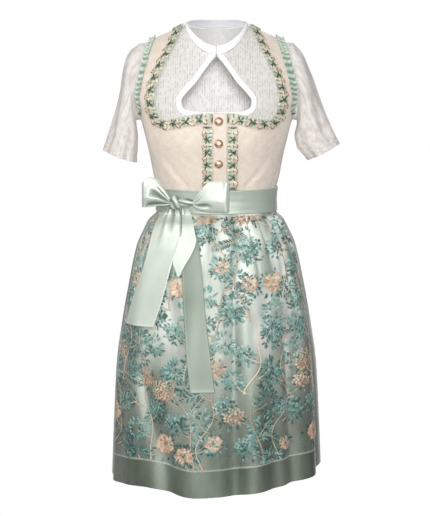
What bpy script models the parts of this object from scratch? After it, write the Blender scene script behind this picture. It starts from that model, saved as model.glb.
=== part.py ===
"""Dirndl dress: a lace blouse, a bodice with a gathered skirt, and an apron with its tied sash.

Units are metres and +Z is up. The front faces -Y and +X is the wearer's left, so "left" and "right"
in the names are the wearer's. The origin lies midway between the two shoulders, where the straps rest.

Every piece is a thin wall of cloth on one shared form. A place on the form is a pair (angle, fall):
angle runs round the body in degrees, 0 at the centre front, 90 at the wearer's left side and 180 at the
centre back. Fall runs down the body, 0 on top of the shoulder, 1 at the underarm, more below it.
"""
import math
from collections import namedtuple

import bmesh
import bpy
from mathutils import Vector

Layer = namedtuple("Layer", "inner outer")
Ring = namedtuple("Ring", "z half_width front back")
Outline = namedtuple("Outline", "x z")
Armhole = namedtuple("Armhole", "fall angle")
Fold = namedtuple("Fold", "angle_top angle_hem width depth starts")
Hem = namedtuple("Hem", "angle skirt_z apron_z")
SleeveRing = namedtuple("SleeveRing", "outer_x outer_z inner_x inner_z half_depth")
Band = namedtuple("Band", "inner_x inner_z outer_x outer_z")
Tail = namedtuple("Tail", "z side_x centre_x lift")
Loop = namedtuple("Loop", "along bulge top bottom")
Finish = namedtuple("Finish", "colour roughness metallic")

# --- driving sizes -----------------------------------------------------------------------------
SEAM = 0.0003             # gap between two pieces that are sewn edge to edge
UNDERARM_Z = -0.190
WAIST_Z = -0.366
BLOUSE_END_Z = -0.250     # the blouse ends plainly inside the bodice
SASH_TOP_Z = -0.339
SASH_BOTTOM_Z = -0.391
APRON_TOP_Z = -0.352
FALL_PER_UNIT = 0.200     # metres of height for each unit of fall below the underarm

RING_POWER = 2.3          # roundness of a horizontal section, 2 is an ellipse
SHOULDER_POWER = 1.5      # roundness of a section from the chest over the shoulder
TOP_HALF_WIDTH = 0.172
SHOULDER_HEIGHT = 0.044
SHOULDER_SLOPE = 0.46
NECK_SOFTNESS = 0.020
NECK_RISE = 0.050
NECK_RADIUS = 0.045

BUST_DEPTH = 0.010
BUST_X = 0.075
BUST_Z = -0.225
BUST_WIDTH = 0.050
BUST_HEIGHT = 0.045

# --- distances of the cloth layers from the form -----------------------------------------------
BLOUSE = Layer(0.0, 0.0010)
BINDING = Layer(0.0014, 0.0024)
BODICE = Layer(0.0032, 0.0048)
SKIRT = Layer(0.0032, 0.0048)
PLACKET = Layer(0.0054, 0.0066)
BRAID = Layer(0.0065, 0.0086)
RUFFLE = Layer(0.0062, 0.0080)
APRON = Layer(0.0054, 0.0064)
SASH = Layer(0.0074, 0.0089)
TAIL_WALL = 0.0012
SLEEVE_WALL = 0.0010
COLLAR_WALL = 0.0012
LOOP_WALL = 0.0014

# --- the form: horizontal sections, from the shoulders to the hem --------------------------------
SECTIONS = [
    Ring(0.020, 0.172, 0.115, 0.100),
    Ring(-0.050, 0.184, 0.115, 0.100),
    Ring(-0.100, 0.190, 0.115, 0.100),
    Ring(-0.140, 0.187, 0.115, 0.100),
    Ring(-0.166, 0.1735, 0.115, 0.100),
    Ring(-0.190, 0.1625, 0.115, 0.100),
    Ring(-0.235, 0.1505, 0.117, 0.098),
    Ring(-0.275, 0.1415, 0.111, 0.094),
    Ring(-0.310, 0.1350, 0.104, 0.090),
    Ring(-0.345, 0.1270, 0.097, 0.087),
    Ring(-0.366, 0.1255, 0.095, 0.087),
    Ring(-0.391, 0.1262, 0.096, 0.088),
    Ring(-0.397, 0.1290, 0.099, 0.092),
    Ring(-0.412, 0.1440, 0.112, 0.110),
    Ring(-0.435, 0.1560, 0.124, 0.124),
    Ring(-0.469, 0.1710, 0.137, 0.140),
    Ring(-0.540, 0.1865, 0.150, 0.156),
    Ring(-0.640, 0.2035, 0.165, 0.172),
    Ring(-0.740, 0.2160, 0.176, 0.182),
    Ring(-0.860, 0.2215, 0.184, 0.190),
    Ring(-1.000, 0.2270, 0.190, 0.196),
]

# --- outlines of the cut edges on one half, from the lowest point up -----------------------------
NECKLINE_CORNER_X = 0.116
NECKLINE_LOW = [          # across the bust, from the centre front to the corner
    Outline(0.000, -0.1705),
    Outline(0.030, -0.1705),
    Outline(0.060, -0.1755),
    Outline(0.085, -0.1810),
    Outline(NECKLINE_CORNER_X, -0.1865),
]
NECKLINE_STRAP = [        # up the inner edge of the strap to the shoulder
    Outline(NECKLINE_CORNER_X, -0.1865),
    Outline(0.1300, -0.1700),
    Outline(0.1355, -0.1450),
    Outline(0.1315, -0.1175),
    Outline(0.1190, -0.0800),
    Outline(0.0990, -0.0420),
    Outline(0.0860, -0.0120),
    Outline(0.0738, 0.0142),
]
BACK_NECKLINE = [         # from the centre back up to the shoulder
    Outline(0.0000, -0.1050),
    Outline(0.0400, -0.1010),
    Outline(0.0680, -0.0860),
    Outline(0.0820, -0.0600),
    Outline(0.0860, -0.0300),
    Outline(0.0850, -0.0050),
    Outline(0.0738, 0.0142),
]
KEYHOLE_LOW_Z = -0.1690
KEYHOLE = [               # from the bottom of the opening round its corner and up to the hook
    Outline(0.0000, KEYHOLE_LOW_Z),
    Outline(0.0200, -0.1688),
    Outline(0.0400, -0.1683),
    Outline(0.0580, -0.1670),
    Outline(0.0740, -0.1580),
    Outline(0.0755, -0.1440),
    Outline(0.0571, -0.1200),
    Outline(0.0440, -0.1060),
    Outline(0.0320, -0.0890),
    Outline(0.0165, -0.0680),
    Outline(0.0004, -0.0480),
]
NECK_FRONT_Z = -0.0470
NECK_BACK_Z = 0.0065
NECK_SIDE_Z = 0.0150
NECK_HALF_WIDTH = 0.0690
SHOULDER_SEAM_FALL = 0.006
ARMHOLES = [
    Armhole(0.00, 52.8),
    Armhole(0.24, 54.5),
    Armhole(0.36, 55.8),
    Armhole(0.50, 58.0),
    Armhole(0.64, 61.5),
    Armhole(0.76, 66.0),
    Armhole(0.86, 72.0),
    Armhole(0.93, 79.0),
    Armhole(1.00, 90.0),
]
BODICE_ARMHOLE_INSET = 1.3      # degrees, the blouse shows past the bodice's edge
BODICE_UNDERARM_FALL = 1.022    # the bodice's armhole reaches a little lower than the blouse's
LEVELS_UP = (1.0, 0.93, 0.86, 0.76, 0.64, 0.50, 0.36, 0.24, 0.12, 0.0)
BODICE_ROWS_Z = (WAIST_Z + SEAM, -0.345, -0.310, -0.275, -0.240, -0.212, UNDERARM_Z)
BLOUSE_ROWS_Z = (BLOUSE_END_Z, -0.220, UNDERARM_Z)

# --- trims ---------------------------------------------------------------------------------------
BRAID_WIDTH = 0.024
NECK_BRAID = [            # from the placket's edge to the strap
    Band(0.0300, -0.1705, 0.0300, -0.1945),
    Band(0.0600, -0.1755, 0.0580, -0.1990),
    Band(0.0850, -0.1810, 0.0840, -0.2045),
    Band(0.1040, -0.1850, 0.1120, -0.2080),
    Band(0.1160, -0.1865, 0.1340, -0.2025),
    Band(0.1245, -0.1785, 0.1470, -0.1870),
    Band(0.1300, -0.1700, 0.1535, -0.1720),
]
BACK_BRAID = [            # from the centre back to the strap
    Band(0.0000, -0.1050, 0.0000, -0.1290),
    Band(0.0400, -0.1010, 0.0460, -0.1245),
    Band(0.0680, -0.0860, 0.0860, -0.1020),
    Band(0.0820, -0.0600, 0.1055, -0.0665),
]
BRAID_LEVELS = (0.76, 0.64, 0.50, 0.36, 0.24, 0.12, SHOULDER_SEAM_FALL)
BACK_BRAID_LEVELS = (0.36, 0.24, 0.12, SHOULDER_SEAM_FALL)
PLACKET_X = 0.0075              # the placket is set over to the wearer's left
PLACKET_HALF_WIDTH = 0.0150
PLACKET_TOP_Z = -0.1715
PLACKET_BRAID_TOP_Z = -0.1990
BINDING_WIDTH = 0.011
COLLAR_HEIGHT = 0.018
COLLAR_LEAN = 0.005
COLLAR_NARROWING = 0.65         # share of its height that the collar loses at the sides of the neck
COLLAR_GAP = 0.0016
COLLAR_END = 0.4                # degrees from the centre front to each end
NECK_TURNS = (20.0, 40.0, 60.0, 75.0, 90.0)
RUFFLE_INNER = 5.6              # degrees from the armhole's edge in to each edge of the ruffle
RUFFLE_OUTER = 0.9
RUFFLE_INNER_DROP = 0.070       # fall by which each of its edges passes below the underarm
RUFFLE_OUTER_DROP = 0.032
BUTTON_X = 0.0047
BUTTON_Z = (-0.1885, -0.2360, -0.2805)
BUTTON_SIDES = 12
BUTTON_PROFILE = [        # radius and height of the turned outline, from the back to the top
    (0.0086, 0.0000),
    (0.0093, 0.0008),
    (0.0088, 0.0020),
    (0.0066, 0.0038),
    (0.0040, 0.0052),
]
BUTTON_TOP = 0.0057

# --- sleeves: |x| of the outer and the inner line, hanging slightly away from the body ------------
SLEEVE_RIGHT = [
    SleeveRing(0.1690, -0.0245, 0.1780, -0.1925, 0.0440),
    SleeveRing(0.1900, -0.0400, 0.1780, -0.2010, 0.0505),
    SleeveRing(0.2045, -0.0750, 0.1760, -0.2120, 0.0580),
    SleeveRing(0.2130, -0.1300, 0.1740, -0.2270, 0.0585),
    SleeveRing(0.2260, -0.1870, 0.1735, -0.2480, 0.0580),
    SleeveRing(0.2430, -0.2480, 0.1760, -0.2790, 0.0570),
]
SLEEVE_LEFT = [
    SleeveRing(0.1690, -0.0245, 0.1780, -0.1925, 0.0440),
    SleeveRing(0.1880, -0.0460, 0.1780, -0.2000, 0.0505),
    SleeveRing(0.2060, -0.0900, 0.1770, -0.2090, 0.0580),
    SleeveRing(0.2240, -0.1400, 0.1770, -0.2220, 0.0585),
    SleeveRing(0.2440, -0.1870, 0.1790, -0.2390, 0.0580),
    SleeveRing(0.2655, -0.2320, 0.1840, -0.2630, 0.0570),
]
SLEEVE_HEM_WIDTH = 0.012

# --- skirt ---------------------------------------------------------------------------------------
HEMS = [
    Hem(-180.0, -0.9920, -0.9320),
    Hem(-120.0, -0.9880, -0.9320),
    Hem(-75.0, -0.9900, -0.9310),
    Hem(-42.0, -0.9830, -0.9240),
    Hem(-8.0, -0.9990, -0.9410),
    Hem(25.0, -0.9860, -0.9280),
    Hem(55.0, -0.9740, -0.9170),
    Hem(85.0, -0.9670, -0.9120),
    Hem(130.0, -0.9850, -0.9300),
    Hem(180.0, -0.9920, -0.9320),
]
FOLDS = [
    Fold(-70.0, -74.0, 7.0, 0.0060, -0.42),
    Fold(-52.0, -50.0, 9.0, 0.0070, -0.46),
    Fold(-42.0, -25.0, 7.0, -0.0130, -0.66),
    Fold(-13.0, -10.0, 8.0, 0.0060, -0.42),
    Fold(6.0, 8.0, 5.0, -0.0080, -0.39),
    Fold(17.0, 19.0, 8.0, 0.0080, -0.45),
    Fold(31.0, 31.0, 6.0, -0.0060, -0.50),
    Fold(44.0, 45.0, 6.0, -0.0110, -0.58),
    Fold(60.0, 62.0, 9.0, 0.0080, -0.42),
    Fold(78.0, 80.0, 7.0, -0.0070, -0.44),
    Fold(100.0, 98.0, 8.0, 0.0080, -0.42),
    Fold(116.0, 114.0, 7.0, -0.0110, -0.42),
    Fold(132.0, 133.0, 8.0, 0.0090, -0.42),
    Fold(150.0, 147.0, 7.0, -0.0120, -0.44),
    Fold(165.0, 166.0, 8.0, 0.0100, -0.42),
    Fold(-178.0, -176.0, 7.0, -0.0120, -0.42),
    Fold(-161.0, -160.0, 8.0, 0.0090, -0.42),
    Fold(-144.0, -146.0, 7.0, -0.0110, -0.45),
    Fold(-128.0, -127.0, 8.0, 0.0090, -0.42),
    Fold(-112.0, -110.0, 7.0, -0.0100, -0.42),
    Fold(-94.0, -95.0, 7.0, 0.0060, -0.42),
]
SKIRT_ROWS_Z = (WAIST_Z - SEAM, SASH_BOTTOM_Z, -0.4070, -0.4340, -0.4740, -0.5600, -0.6700, -0.8000)
SKIRT_COLUMN = 7.5              # degrees
SIDE_SEAM = 0.10                # degrees left open at each side seam
APRON_EDGE = 75.0               # degrees from the centre front

# --- sash and bow, tied over the wearer's right front ----------------------------------------------
KNOT_CENTRE = Vector((-0.0890, -0.1005, -0.3650))
KNOT_RADII = Vector((0.0110, 0.0085, 0.0125))
WRAP_CENTRE = Vector((-0.0642, -0.1140, -0.3635))
WRAP_RADII = Vector((0.0126, 0.0080, 0.0078))
LOOP_OUTER_ROOT = Vector((-0.1015, -0.1010, -0.3630))
LOOP_OUTER_DIRECTION = Vector((-0.985, 0.170, 0.0))
LOOP_OUTER = [
    Loop(0.000, 0.0030, 0.0070, -0.0070),
    Loop(0.012, 0.0065, 0.0240, -0.0090),
    Loop(0.028, 0.0110, 0.0450, -0.0110),
    Loop(0.045, 0.0120, 0.0520, -0.0125),
    Loop(0.056, 0.0090, 0.0460, -0.0130),
    Loop(0.061, 0.0014, 0.0380, -0.0130),
]
LOOP_INNER_ROOT = Vector((-0.0500, -0.1170, -0.3650))
LOOP_INNER_DIRECTION = Vector((0.985, -0.170, 0.0))
LOOP_INNER = [
    Loop(0.000, 0.0030, 0.0060, -0.0060),
    Loop(0.010, 0.0060, 0.0200, -0.0130),
    Loop(0.022, 0.0095, 0.0360, -0.0165),
    Loop(0.034, 0.0110, 0.0460, -0.0180),
    Loop(0.056, 0.0120, 0.0470, -0.0180),
    Loop(0.072, 0.0085, 0.0465, -0.0180),
    Loop(0.078, 0.0014, 0.0460, -0.0180),
]
TAIL_OUTER = [
    Tail(-0.3800, -0.1120, -0.0830, 0.0170),
    Tail(-0.4000, -0.1260, -0.0760, 0.0190),
    Tail(-0.4270, -0.1380, -0.0760, 0.0150),
    Tail(-0.4600, -0.1470, -0.0850, 0.0140),
    Tail(-0.5000, -0.1570, -0.0970, 0.0130),
    Tail(-0.5500, -0.1730, -0.1110, 0.0130),
    Tail(-0.5950, -0.1870, -0.1240, 0.0125),
    Tail(-0.6330, -0.1960, -0.1370, 0.0125),
]
TAIL_INNER = [
    Tail(-0.3780, -0.0760, -0.0620, 0.0120),
    Tail(-0.4000, -0.0770, -0.0540, 0.0125),
    Tail(-0.4300, -0.0820, -0.0430, 0.0095),
    Tail(-0.4700, -0.0900, -0.0360, 0.0090),
    Tail(-0.5100, -0.0830, -0.0310, 0.0085),
    Tail(-0.5600, -0.0750, -0.0270, 0.0085),
    Tail(-0.6200, -0.0700, -0.0220, 0.0085),
    Tail(-0.7000, -0.0630, -0.0120, 0.0085),
    Tail(-0.7690, -0.0545, -0.0040, 0.0085),
]
TAIL_COLUMNS = 2

# --- finishes ------------------------------------------------------------------------------------
LACE = Finish((0.86, 0.85, 0.83), 0.85, 0.0)
WHITE_COTTON = Finish((0.88, 0.88, 0.92), 0.80, 0.0)
CREAM_CLOTH = Finish((0.83, 0.76, 0.66), 0.80, 0.0)
MINT_RIBBON = Finish((0.50, 0.66, 0.56), 0.55, 0.0)
BRAID_RIBBON = Finish((0.38, 0.50, 0.38), 0.60, 0.0)
SAGE_SATIN = Finish((0.36, 0.45, 0.38), 0.30, 0.0)
SASH_SATIN = Finish((0.55, 0.66, 0.56), 0.25, 0.0)
SHEER_CLOTH = Finish((0.45, 0.60, 0.54), 0.55, 0.0)
BRASS = Finish((0.62, 0.42, 0.26), 0.35, 1.0)


def clear_scene():
    for thing in list(bpy.data.objects):
        bpy.data.objects.remove(thing, do_unlink=True)


# --- reading the tables ----------------------------------------------------------------------------
def read(table, key, at, column):
    """The value of a column at a key, on a smooth curve through the rows that never overshoots."""
    rows = sorted(table, key=lambda row: getattr(row, key))
    keys = [getattr(row, key) for row in rows]
    values = [getattr(row, column) for row in rows]
    if at <= keys[0]:
        return values[0]
    if at >= keys[-1]:
        return values[-1]
    left = max(i for i in range(len(keys) - 1) if keys[i] <= at)

    def slope(i):
        return (values[i + 1] - values[i]) / (keys[i + 1] - keys[i])

    def tangent(i):
        if i == 0:
            return slope(0)
        if i == len(keys) - 1:
            return slope(i - 1)
        before, after = slope(i - 1), slope(i)
        return 0.0 if before * after <= 0.0 else 2.0 * before * after / (before + after)

    span = keys[left + 1] - keys[left]
    t = (at - keys[left]) / span
    ease = t * t * (3.0 - 2.0 * t)
    enter = t * (1.0 - t) ** 2 * span * tangent(left)
    leave = t * t * (1.0 - t) * span * tangent(left + 1)
    return values[left] * (1.0 - ease) + values[left + 1] * ease + enter - leave


def smooth_step(t):
    t = min(1.0, max(0.0, t))
    return t * t * (3.0 - 2.0 * t)


# --- the form --------------------------------------------------------------------------------------
def is_front(angle):
    return abs(angle) <= 90.0


def shoulder_z(top_x):
    """Height of the shoulder line above a half width, rising into the neck."""
    slope = SHOULDER_SLOPE * math.hypot(top_x, NECK_SOFTNESS)
    return SHOULDER_HEIGHT - slope + NECK_RISE * math.exp(-(top_x / NECK_RADIUS) ** 2)


def sideways(angle):
    """Share of the half width that a place at this angle stands out sideways."""
    sine = math.sin(math.radians(angle))
    return math.copysign(abs(sine) ** (2.0 / RING_POWER), sine)


def forward(angle):
    """Share of the depth that a place at this angle stands forward (front) or back."""
    return abs(math.cos(math.radians(angle))) ** (2.0 / RING_POWER)


def bust(x, z):
    across = (abs(x) - BUST_X) / BUST_WIDTH
    down = (z - BUST_Z) / BUST_HEIGHT
    return BUST_DEPTH * math.exp(-across * across - down * down)


def fold_reach(angle, z):
    """How far the folds of the skirt push the cloth out (or in, below zero) at this place."""
    if z >= WAIST_Z:
        return 0.0
    reach = 0.0
    for fold in FOLDS:
        grown = smooth_step((fold.starts - z) / (fold.starts - HEMS[0].skirt_z))
        middle = fold.angle_top + (fold.angle_hem - fold.angle_top) * grown
        away = (angle - middle + 180.0) % 360.0 - 180.0
        reach += fold.depth * math.sqrt(grown) * math.exp(-(away / fold.width) ** 2)
    return reach


def fall_at(z):
    """Fall of a height below the underarm."""
    return 1.0 + (UNDERARM_Z - z) / FALL_PER_UNIT


def form_point(angle, fall, out):
    """The point of the form at a place, moved out from it by a distance."""
    side = -1.0 if is_front(angle) else 1.0
    depth_column = "front" if is_front(angle) else "back"
    if fall >= 1.0:
        z = UNDERARM_Z - (fall - 1.0) * FALL_PER_UNIT
        reach = out + fold_reach(angle, z)
        x = (read(SECTIONS, "z", z, "half_width") + reach) * sideways(angle)
        depth = read(SECTIONS, "z", z, depth_column) + reach
        lift = 0.0
    else:
        turn = math.radians(90.0 * fall)
        over = math.sin(turn) ** (2.0 / SHOULDER_POWER)
        up = math.cos(turn) ** (2.0 / SHOULDER_POWER)
        top = shoulder_z(TOP_HALF_WIDTH * abs(sideways(angle)))
        z = UNDERARM_Z + (top - UNDERARM_Z) * up
        x = (read(SECTIONS, "z", z, "half_width") + out * over) * sideways(angle)
        depth = (read(SECTIONS, "z", UNDERARM_Z, depth_column) + out) * over
        lift = out * up
    y = side * depth * forward(angle)
    if is_front(angle):
        y -= bust(x, z) * smooth_step(fall)
    return Vector((x, y, z + lift))


def angle_at(x, z, out):
    """Angle of the front place whose point is at x and z."""
    share = min(1.0, abs(x) / (read(SECTIONS, "z", z, "half_width") + out))
    angle = math.degrees(math.asin(share ** (RING_POWER / 2.0)))
    return math.copysign(angle, x)


def place_at(x, z, out):
    """The front place (angle, fall) whose point is at x and z."""
    angle = angle_at(x, z, out)
    if z <= UNDERARM_Z:
        return angle, fall_at(z)
    top = shoulder_z(TOP_HALF_WIDTH * abs(sideways(angle)))
    up = min(1.0, (z - UNDERARM_Z) / (top - UNDERARM_Z))
    turn = math.acos(up ** (SHOULDER_POWER / 2.0))
    return angle, math.degrees(turn) / 90.0


def to_back(place):
    """The place behind a front place, at the same height."""
    angle, fall = place
    return math.copysign(180.0 - abs(angle), angle) if angle else 180.0, fall


def mirrored(rows):
    """The same rows on the other side of the body; the centre back stays at 180 degrees."""
    return [[(180.0 if angle == 180.0 else -angle, fall) for angle, fall in row] for row in rows]


def behind(rows):
    return [[to_back(place) for place in row] for row in rows]


# --- edges of the pieces, as angles at a fall --------------------------------------------------------
def edge_angle(outline, fall, out):
    """Angle of a cut edge at a fall, from its outline in x and z."""
    places = [Armhole(place_at(p.x, p.z, out)[1], place_at(p.x, p.z, out)[0]) for p in outline]
    return read(places, "fall", fall, "angle")


def armhole_angle(fall, inset):
    return read(ARMHOLES, "fall", fall, "angle") - inset


def between(start, end, count):
    """Places shared out evenly from a start place to an end place."""
    steps = [i / count for i in range(count + 1)]
    return [tuple(a + (b - a) * t for a, b in zip(start, end)) for t in steps]


# --- building closed walls -----------------------------------------------------------------------------
def make_material(name, finish):
    material = bpy.data.materials.new(name)
    material.use_nodes = True
    shader = material.node_tree.nodes["Principled BSDF"]
    shader.inputs["Base Color"].default_value = (*finish.colour, 1.0)
    shader.inputs["Roughness"].default_value = finish.roughness
    shader.inputs["Metallic"].default_value = finish.metallic
    return material


def add_object(name, mesh, finish):
    mesh.materials.append(make_material(name, finish))
    mesh.shade_smooth()
    mesh.set_sharp_from_angle(angle=math.radians(40.0))
    thing = bpy.data.objects.new(name, mesh)
    bpy.context.scene.collection.objects.link(thing)
    return thing


def strip_cells(rows, closed=False):
    """The four-cornered cells between neighbouring rows of places."""
    cells = []
    for low, high in zip(rows, rows[1:]):
        columns = range(len(low)) if closed else range(len(low) - 1)
        for c in columns:
            n = (c + 1) % len(low)
            cells.append((low[c], low[n], high[n], high[c]))
    return cells


def cloth_wall(name, cells, layer, finish, point=form_point):
    """A closed wall over cells of places, from the layer's inner to its outer distance."""
    shape = bmesh.new()
    corners = {}

    def corner(place, out):
        key = (tuple(round(value, 7) for value in place), out)
        if key not in corners:
            corners[key] = shape.verts.new(point(*place, out))
        return corners[key]

    edges = {}
    for cell in cells:
        for i in range(4):
            ends = [tuple(round(value, 7) for value in cell[i]),
                    tuple(round(value, 7) for value in cell[(i + 1) % 4])]
            if ends[0] != ends[1]:
                edges.setdefault(tuple(sorted(ends)), []).append((cell[i], cell[(i + 1) % 4]))
        for out in layer:
            a, b, c, d = (corner(place, out) for place in cell)
            for face in ((a, b, c), (a, c, d)):
                if len(set(face)) == 3:
                    shape.faces.new(face)
    for sharing in edges.values():
        if len(sharing) == 1:
            start, end = sharing[0]
            a, b = corner(start, layer.inner), corner(end, layer.inner)
            c, d = corner(end, layer.outer), corner(start, layer.outer)
            shape.faces.new((a, b, c))
            shape.faces.new((a, c, d))
    bmesh.ops.recalc_face_normals(shape, faces=shape.faces)
    mesh = bpy.data.meshes.new(name)
    shape.to_mesh(mesh)
    shape.free()
    return add_object(name, mesh, finish)


def turned_solid(name, profile, top, sides, finish, base, axis):
    """A round piece turned about an axis, closed flat at its base and domed at its top."""
    shape = bmesh.new()
    rings = []
    for radius, height in profile:
        turns = [2.0 * math.pi * i / sides for i in range(sides)]
        rings.append([shape.verts.new((radius * math.cos(t), radius * math.sin(t), height)) for t in turns])
    for low, high in zip(rings, rings[1:]):
        for i in range(sides):
            n = (i + 1) % sides
            shape.faces.new((low[i], low[n], high[n], high[i]))
    shape.faces.new(list(reversed(rings[0])))
    tip = shape.verts.new((0.0, 0.0, top))
    for i in range(sides):
        shape.faces.new((rings[-1][i], rings[-1][(i + 1) % sides], tip))
    mesh = bpy.data.meshes.new(name)
    shape.to_mesh(mesh)
    shape.free()
    thing = add_object(name, mesh, finish)
    thing.location = base
    thing.rotation_mode = "QUATERNION"
    thing.rotation_quaternion = axis.to_track_quat("Z", "Y")
    return thing


# --- blouse ------------------------------------------------------------------------------------------
def neck_seam_z(x, middle_z):
    """Height of the collar seam at x, for a round neck whose seam has this height at its middle."""
    share = min(1.0, x / NECK_HALF_WIDTH)
    return NECK_SIDE_Z + (middle_z - NECK_SIDE_Z) * (1.0 - share * share) ** 0.75


def neck_place(turn, back=False):
    """A place on the collar seam, turn 0 at the centre and 90 at the side of the neck."""
    x = NECK_HALF_WIDTH * math.sin(math.radians(turn))
    z = neck_seam_z(x, NECK_BACK_Z if back else NECK_FRONT_Z)
    angle, fall = place_at(x, z, BLOUSE.outer)
    if turn >= 90.0:
        fall = SHOULDER_SEAM_FALL
    return to_back((angle, fall)) if back else (angle, fall)


def centre_gap_angle(z):
    """Angle that leaves half a seam's gap at the centre front."""
    return angle_at(SEAM, z, 0.0)


def rows_to_armhole(inner, levels, columns, inset):
    """Rows from given inner places to the armhole edge, which is reached at the given levels."""
    rows = []
    for start, level in zip(inner, levels):
        outer = 90.0 - SIDE_SEAM if level >= 1.0 else armhole_angle(level, inset)
        rows.append(between(start, (outer, level), columns))
    return rows


def blouse_front_rows():
    """Rows of the wearer's left front, from its lower end up; each runs outwards to the side."""
    columns = 5
    side = 90.0 - SIDE_SEAM
    rows = [between((centre_gap_angle(z), fall_at(z)), (side, fall_at(z)), columns) for z in BLOUSE_ROWS_Z]
    inner = [place_at(max(p.x, SEAM), p.z, BLOUSE.outer) for p in KEYHOLE]
    inner += [neck_place(turn) for turn in NECK_TURNS]
    levels = (0.98, 0.955, 0.93, 0.895, 0.86, 0.81, 0.76, 0.70, 0.64, 0.57, 0.50, 0.43, 0.36, 0.24, 0.12,
              SHOULDER_SEAM_FALL)
    return rows + rows_to_armhole(inner, levels, columns, SIDE_SEAM)


def blouse_back_rows():
    columns = 5
    side = 90.0 - SIDE_SEAM
    rows = [between((0.0, fall_at(z)), (side, fall_at(z)), columns) for z in BLOUSE_ROWS_Z]
    neck_fall = neck_place(0.0, back=True)[1]
    inner = [(0.0, fall) for fall in (0.86, 0.72, 0.58, neck_fall)]
    inner += [to_back(neck_place(turn, back=True)) for turn in NECK_TURNS]
    levels = LEVELS_UP[1:-1] + (SHOULDER_SEAM_FALL,)
    return behind(rows + rows_to_armhole(inner, levels, columns, SIDE_SEAM))


def collar_point(turn, level, out):
    """A point of the stand collar, turn 0 at the centre front and 180 at the centre back."""
    back = abs(turn) > 90.0
    angle, fall = neck_place(180.0 - abs(turn) if back else abs(turn), back)
    base = form_point(math.copysign(angle, turn), fall, 0.0)
    bearing = math.radians(turn)
    away = Vector((math.sin(bearing), -math.cos(bearing), 0.0))
    height = COLLAR_HEIGHT * (1.0 - COLLAR_NARROWING * math.sin(bearing) ** 4)
    return base + away * (out - COLLAR_LEAN * level) + Vector((0.0, 0.0, COLLAR_GAP + height * level))


def build_collar():
    half = [COLLAR_END, *NECK_TURNS] + [180.0 - turn for turn in reversed(NECK_TURNS[:-1])]
    turns = [-turn for turn in half] + [180.0] + half[::-1]
    rows = [[(turn, level) for turn in turns] for level in (0.0, 1.0)]
    cloth_wall("blouse_collar", strip_cells(rows), Layer(0.0, COLLAR_WALL), WHITE_COTTON, collar_point)


def binding_rows():
    """The bias binding round the keyhole, a strip outside its edge."""
    edge = [place_at(max(p.x, 2.0 * SEAM), p.z, BINDING.outer) for p in KEYHOLE]
    rows = []
    for i, (angle, fall) in enumerate(edge):
        here = form_point(angle, fall, BINDING.outer)
        before = form_point(*edge[max(i - 1, 0)], BINDING.outer)
        after = form_point(*edge[min(i + 1, len(edge) - 1)], BINDING.outer)
        run_x, run_z = after.x - before.x, after.z - before.z
        length = math.hypot(run_x, run_z)
        x = here.x + BINDING_WIDTH * run_z / length
        z = min(here.z - BINDING_WIDTH * run_x / length, neck_seam_z(x, NECK_FRONT_Z) - 4.0 * SEAM)
        rows.append([(angle, fall), place_at(max(x, 2.0 * SEAM), z, BINDING.outer)])
    return rows


def build_blouse():
    front = blouse_front_rows()
    back = blouse_back_rows()
    cloth_wall("blouse_front_left", strip_cells(front), BLOUSE, LACE)
    cloth_wall("blouse_front_right", strip_cells(mirrored(front)), BLOUSE, LACE)
    cloth_wall("blouse_back", strip_cells(back) + strip_cells(mirrored(back)), BLOUSE, LACE)
    build_collar()
    binding = binding_rows()
    cloth_wall("keyhole_binding_left", strip_cells(binding), BINDING, WHITE_COTTON)
    cloth_wall("keyhole_binding_right", strip_cells(mirrored(binding)), BINDING, WHITE_COTTON)


# --- sleeves -------------------------------------------------------------------------------------------
def armhole_loop(inset):
    """Places once round the left armhole: the top, down the front, the underarm, up the back."""
    front = [(armhole_angle(level, inset), level) for level in LEVELS_UP[1:-1]]
    front.reverse()
    back = [to_back(place) for place in reversed(front)]
    top = (armhole_angle(0.0, inset), 0.0)
    return [top] + front + [(90.0, 1.0)] + back


def sleeve_hem_rings(table):
    """The two sections of the hem band, which carries on in line with the sleeve."""
    before, last = table[-2], table[-1]
    outer = Vector((last.outer_x - before.outer_x, last.outer_z - before.outer_z)).normalized()
    inner = Vector((last.inner_x - before.inner_x, last.inner_z - before.inner_z)).normalized()

    def carried_on(distance):
        return SleeveRing(last.outer_x + outer.x * distance, last.outer_z + outer.y * distance,
                          last.inner_x + inner.x * distance, last.inner_z + inner.y * distance,
                          last.half_depth)

    return [carried_on(SEAM), carried_on(SLEEVE_HEM_WIDTH)]


def sleeve_point_on(rings, loop, side):
    """A point function for a tube of rings; a ring of None stands for the armhole itself."""
    count = len(loop)

    def point(row, k, out):
        if rings[row] is None:
            place = form_point(*loop[int(k)], out)
            return Vector((side * place.x, place.y, place.z))
        ring = rings[row]
        turn = 2.0 * math.pi * k / count
        centre = Vector((ring.outer_x + ring.inner_x, 0.0, ring.outer_z + ring.inner_z)) / 2.0
        across = Vector((ring.outer_x - ring.inner_x, 0.0, ring.outer_z - ring.inner_z)) / 2.0
        across *= 1.0 + out / across.length
        place = centre + across * math.cos(turn)
        return Vector((side * place.x, -(ring.half_depth + out) * math.sin(turn), place.z))

    return point


def tube_cells(row_count, column_count):
    rows = [[(row, column) for column in range(column_count)] for row in range(row_count)]
    return strip_cells(rows, closed=True)


def build_sleeve(side_name, side, table):
    loop = armhole_loop(-2.0 * SIDE_SEAM)
    wall = Layer(0.0, SLEEVE_WALL)
    rings = [None] + table
    hem = sleeve_hem_rings(table)
    cloth_wall("sleeve_" + side_name, tube_cells(len(rings), len(loop)), wall, LACE,
               sleeve_point_on(rings, loop, side))
    cloth_wall("sleeve_hem_" + side_name, tube_cells(len(hem), len(loop)), wall, LACE,
               sleeve_point_on(hem, loop, side))


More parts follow.
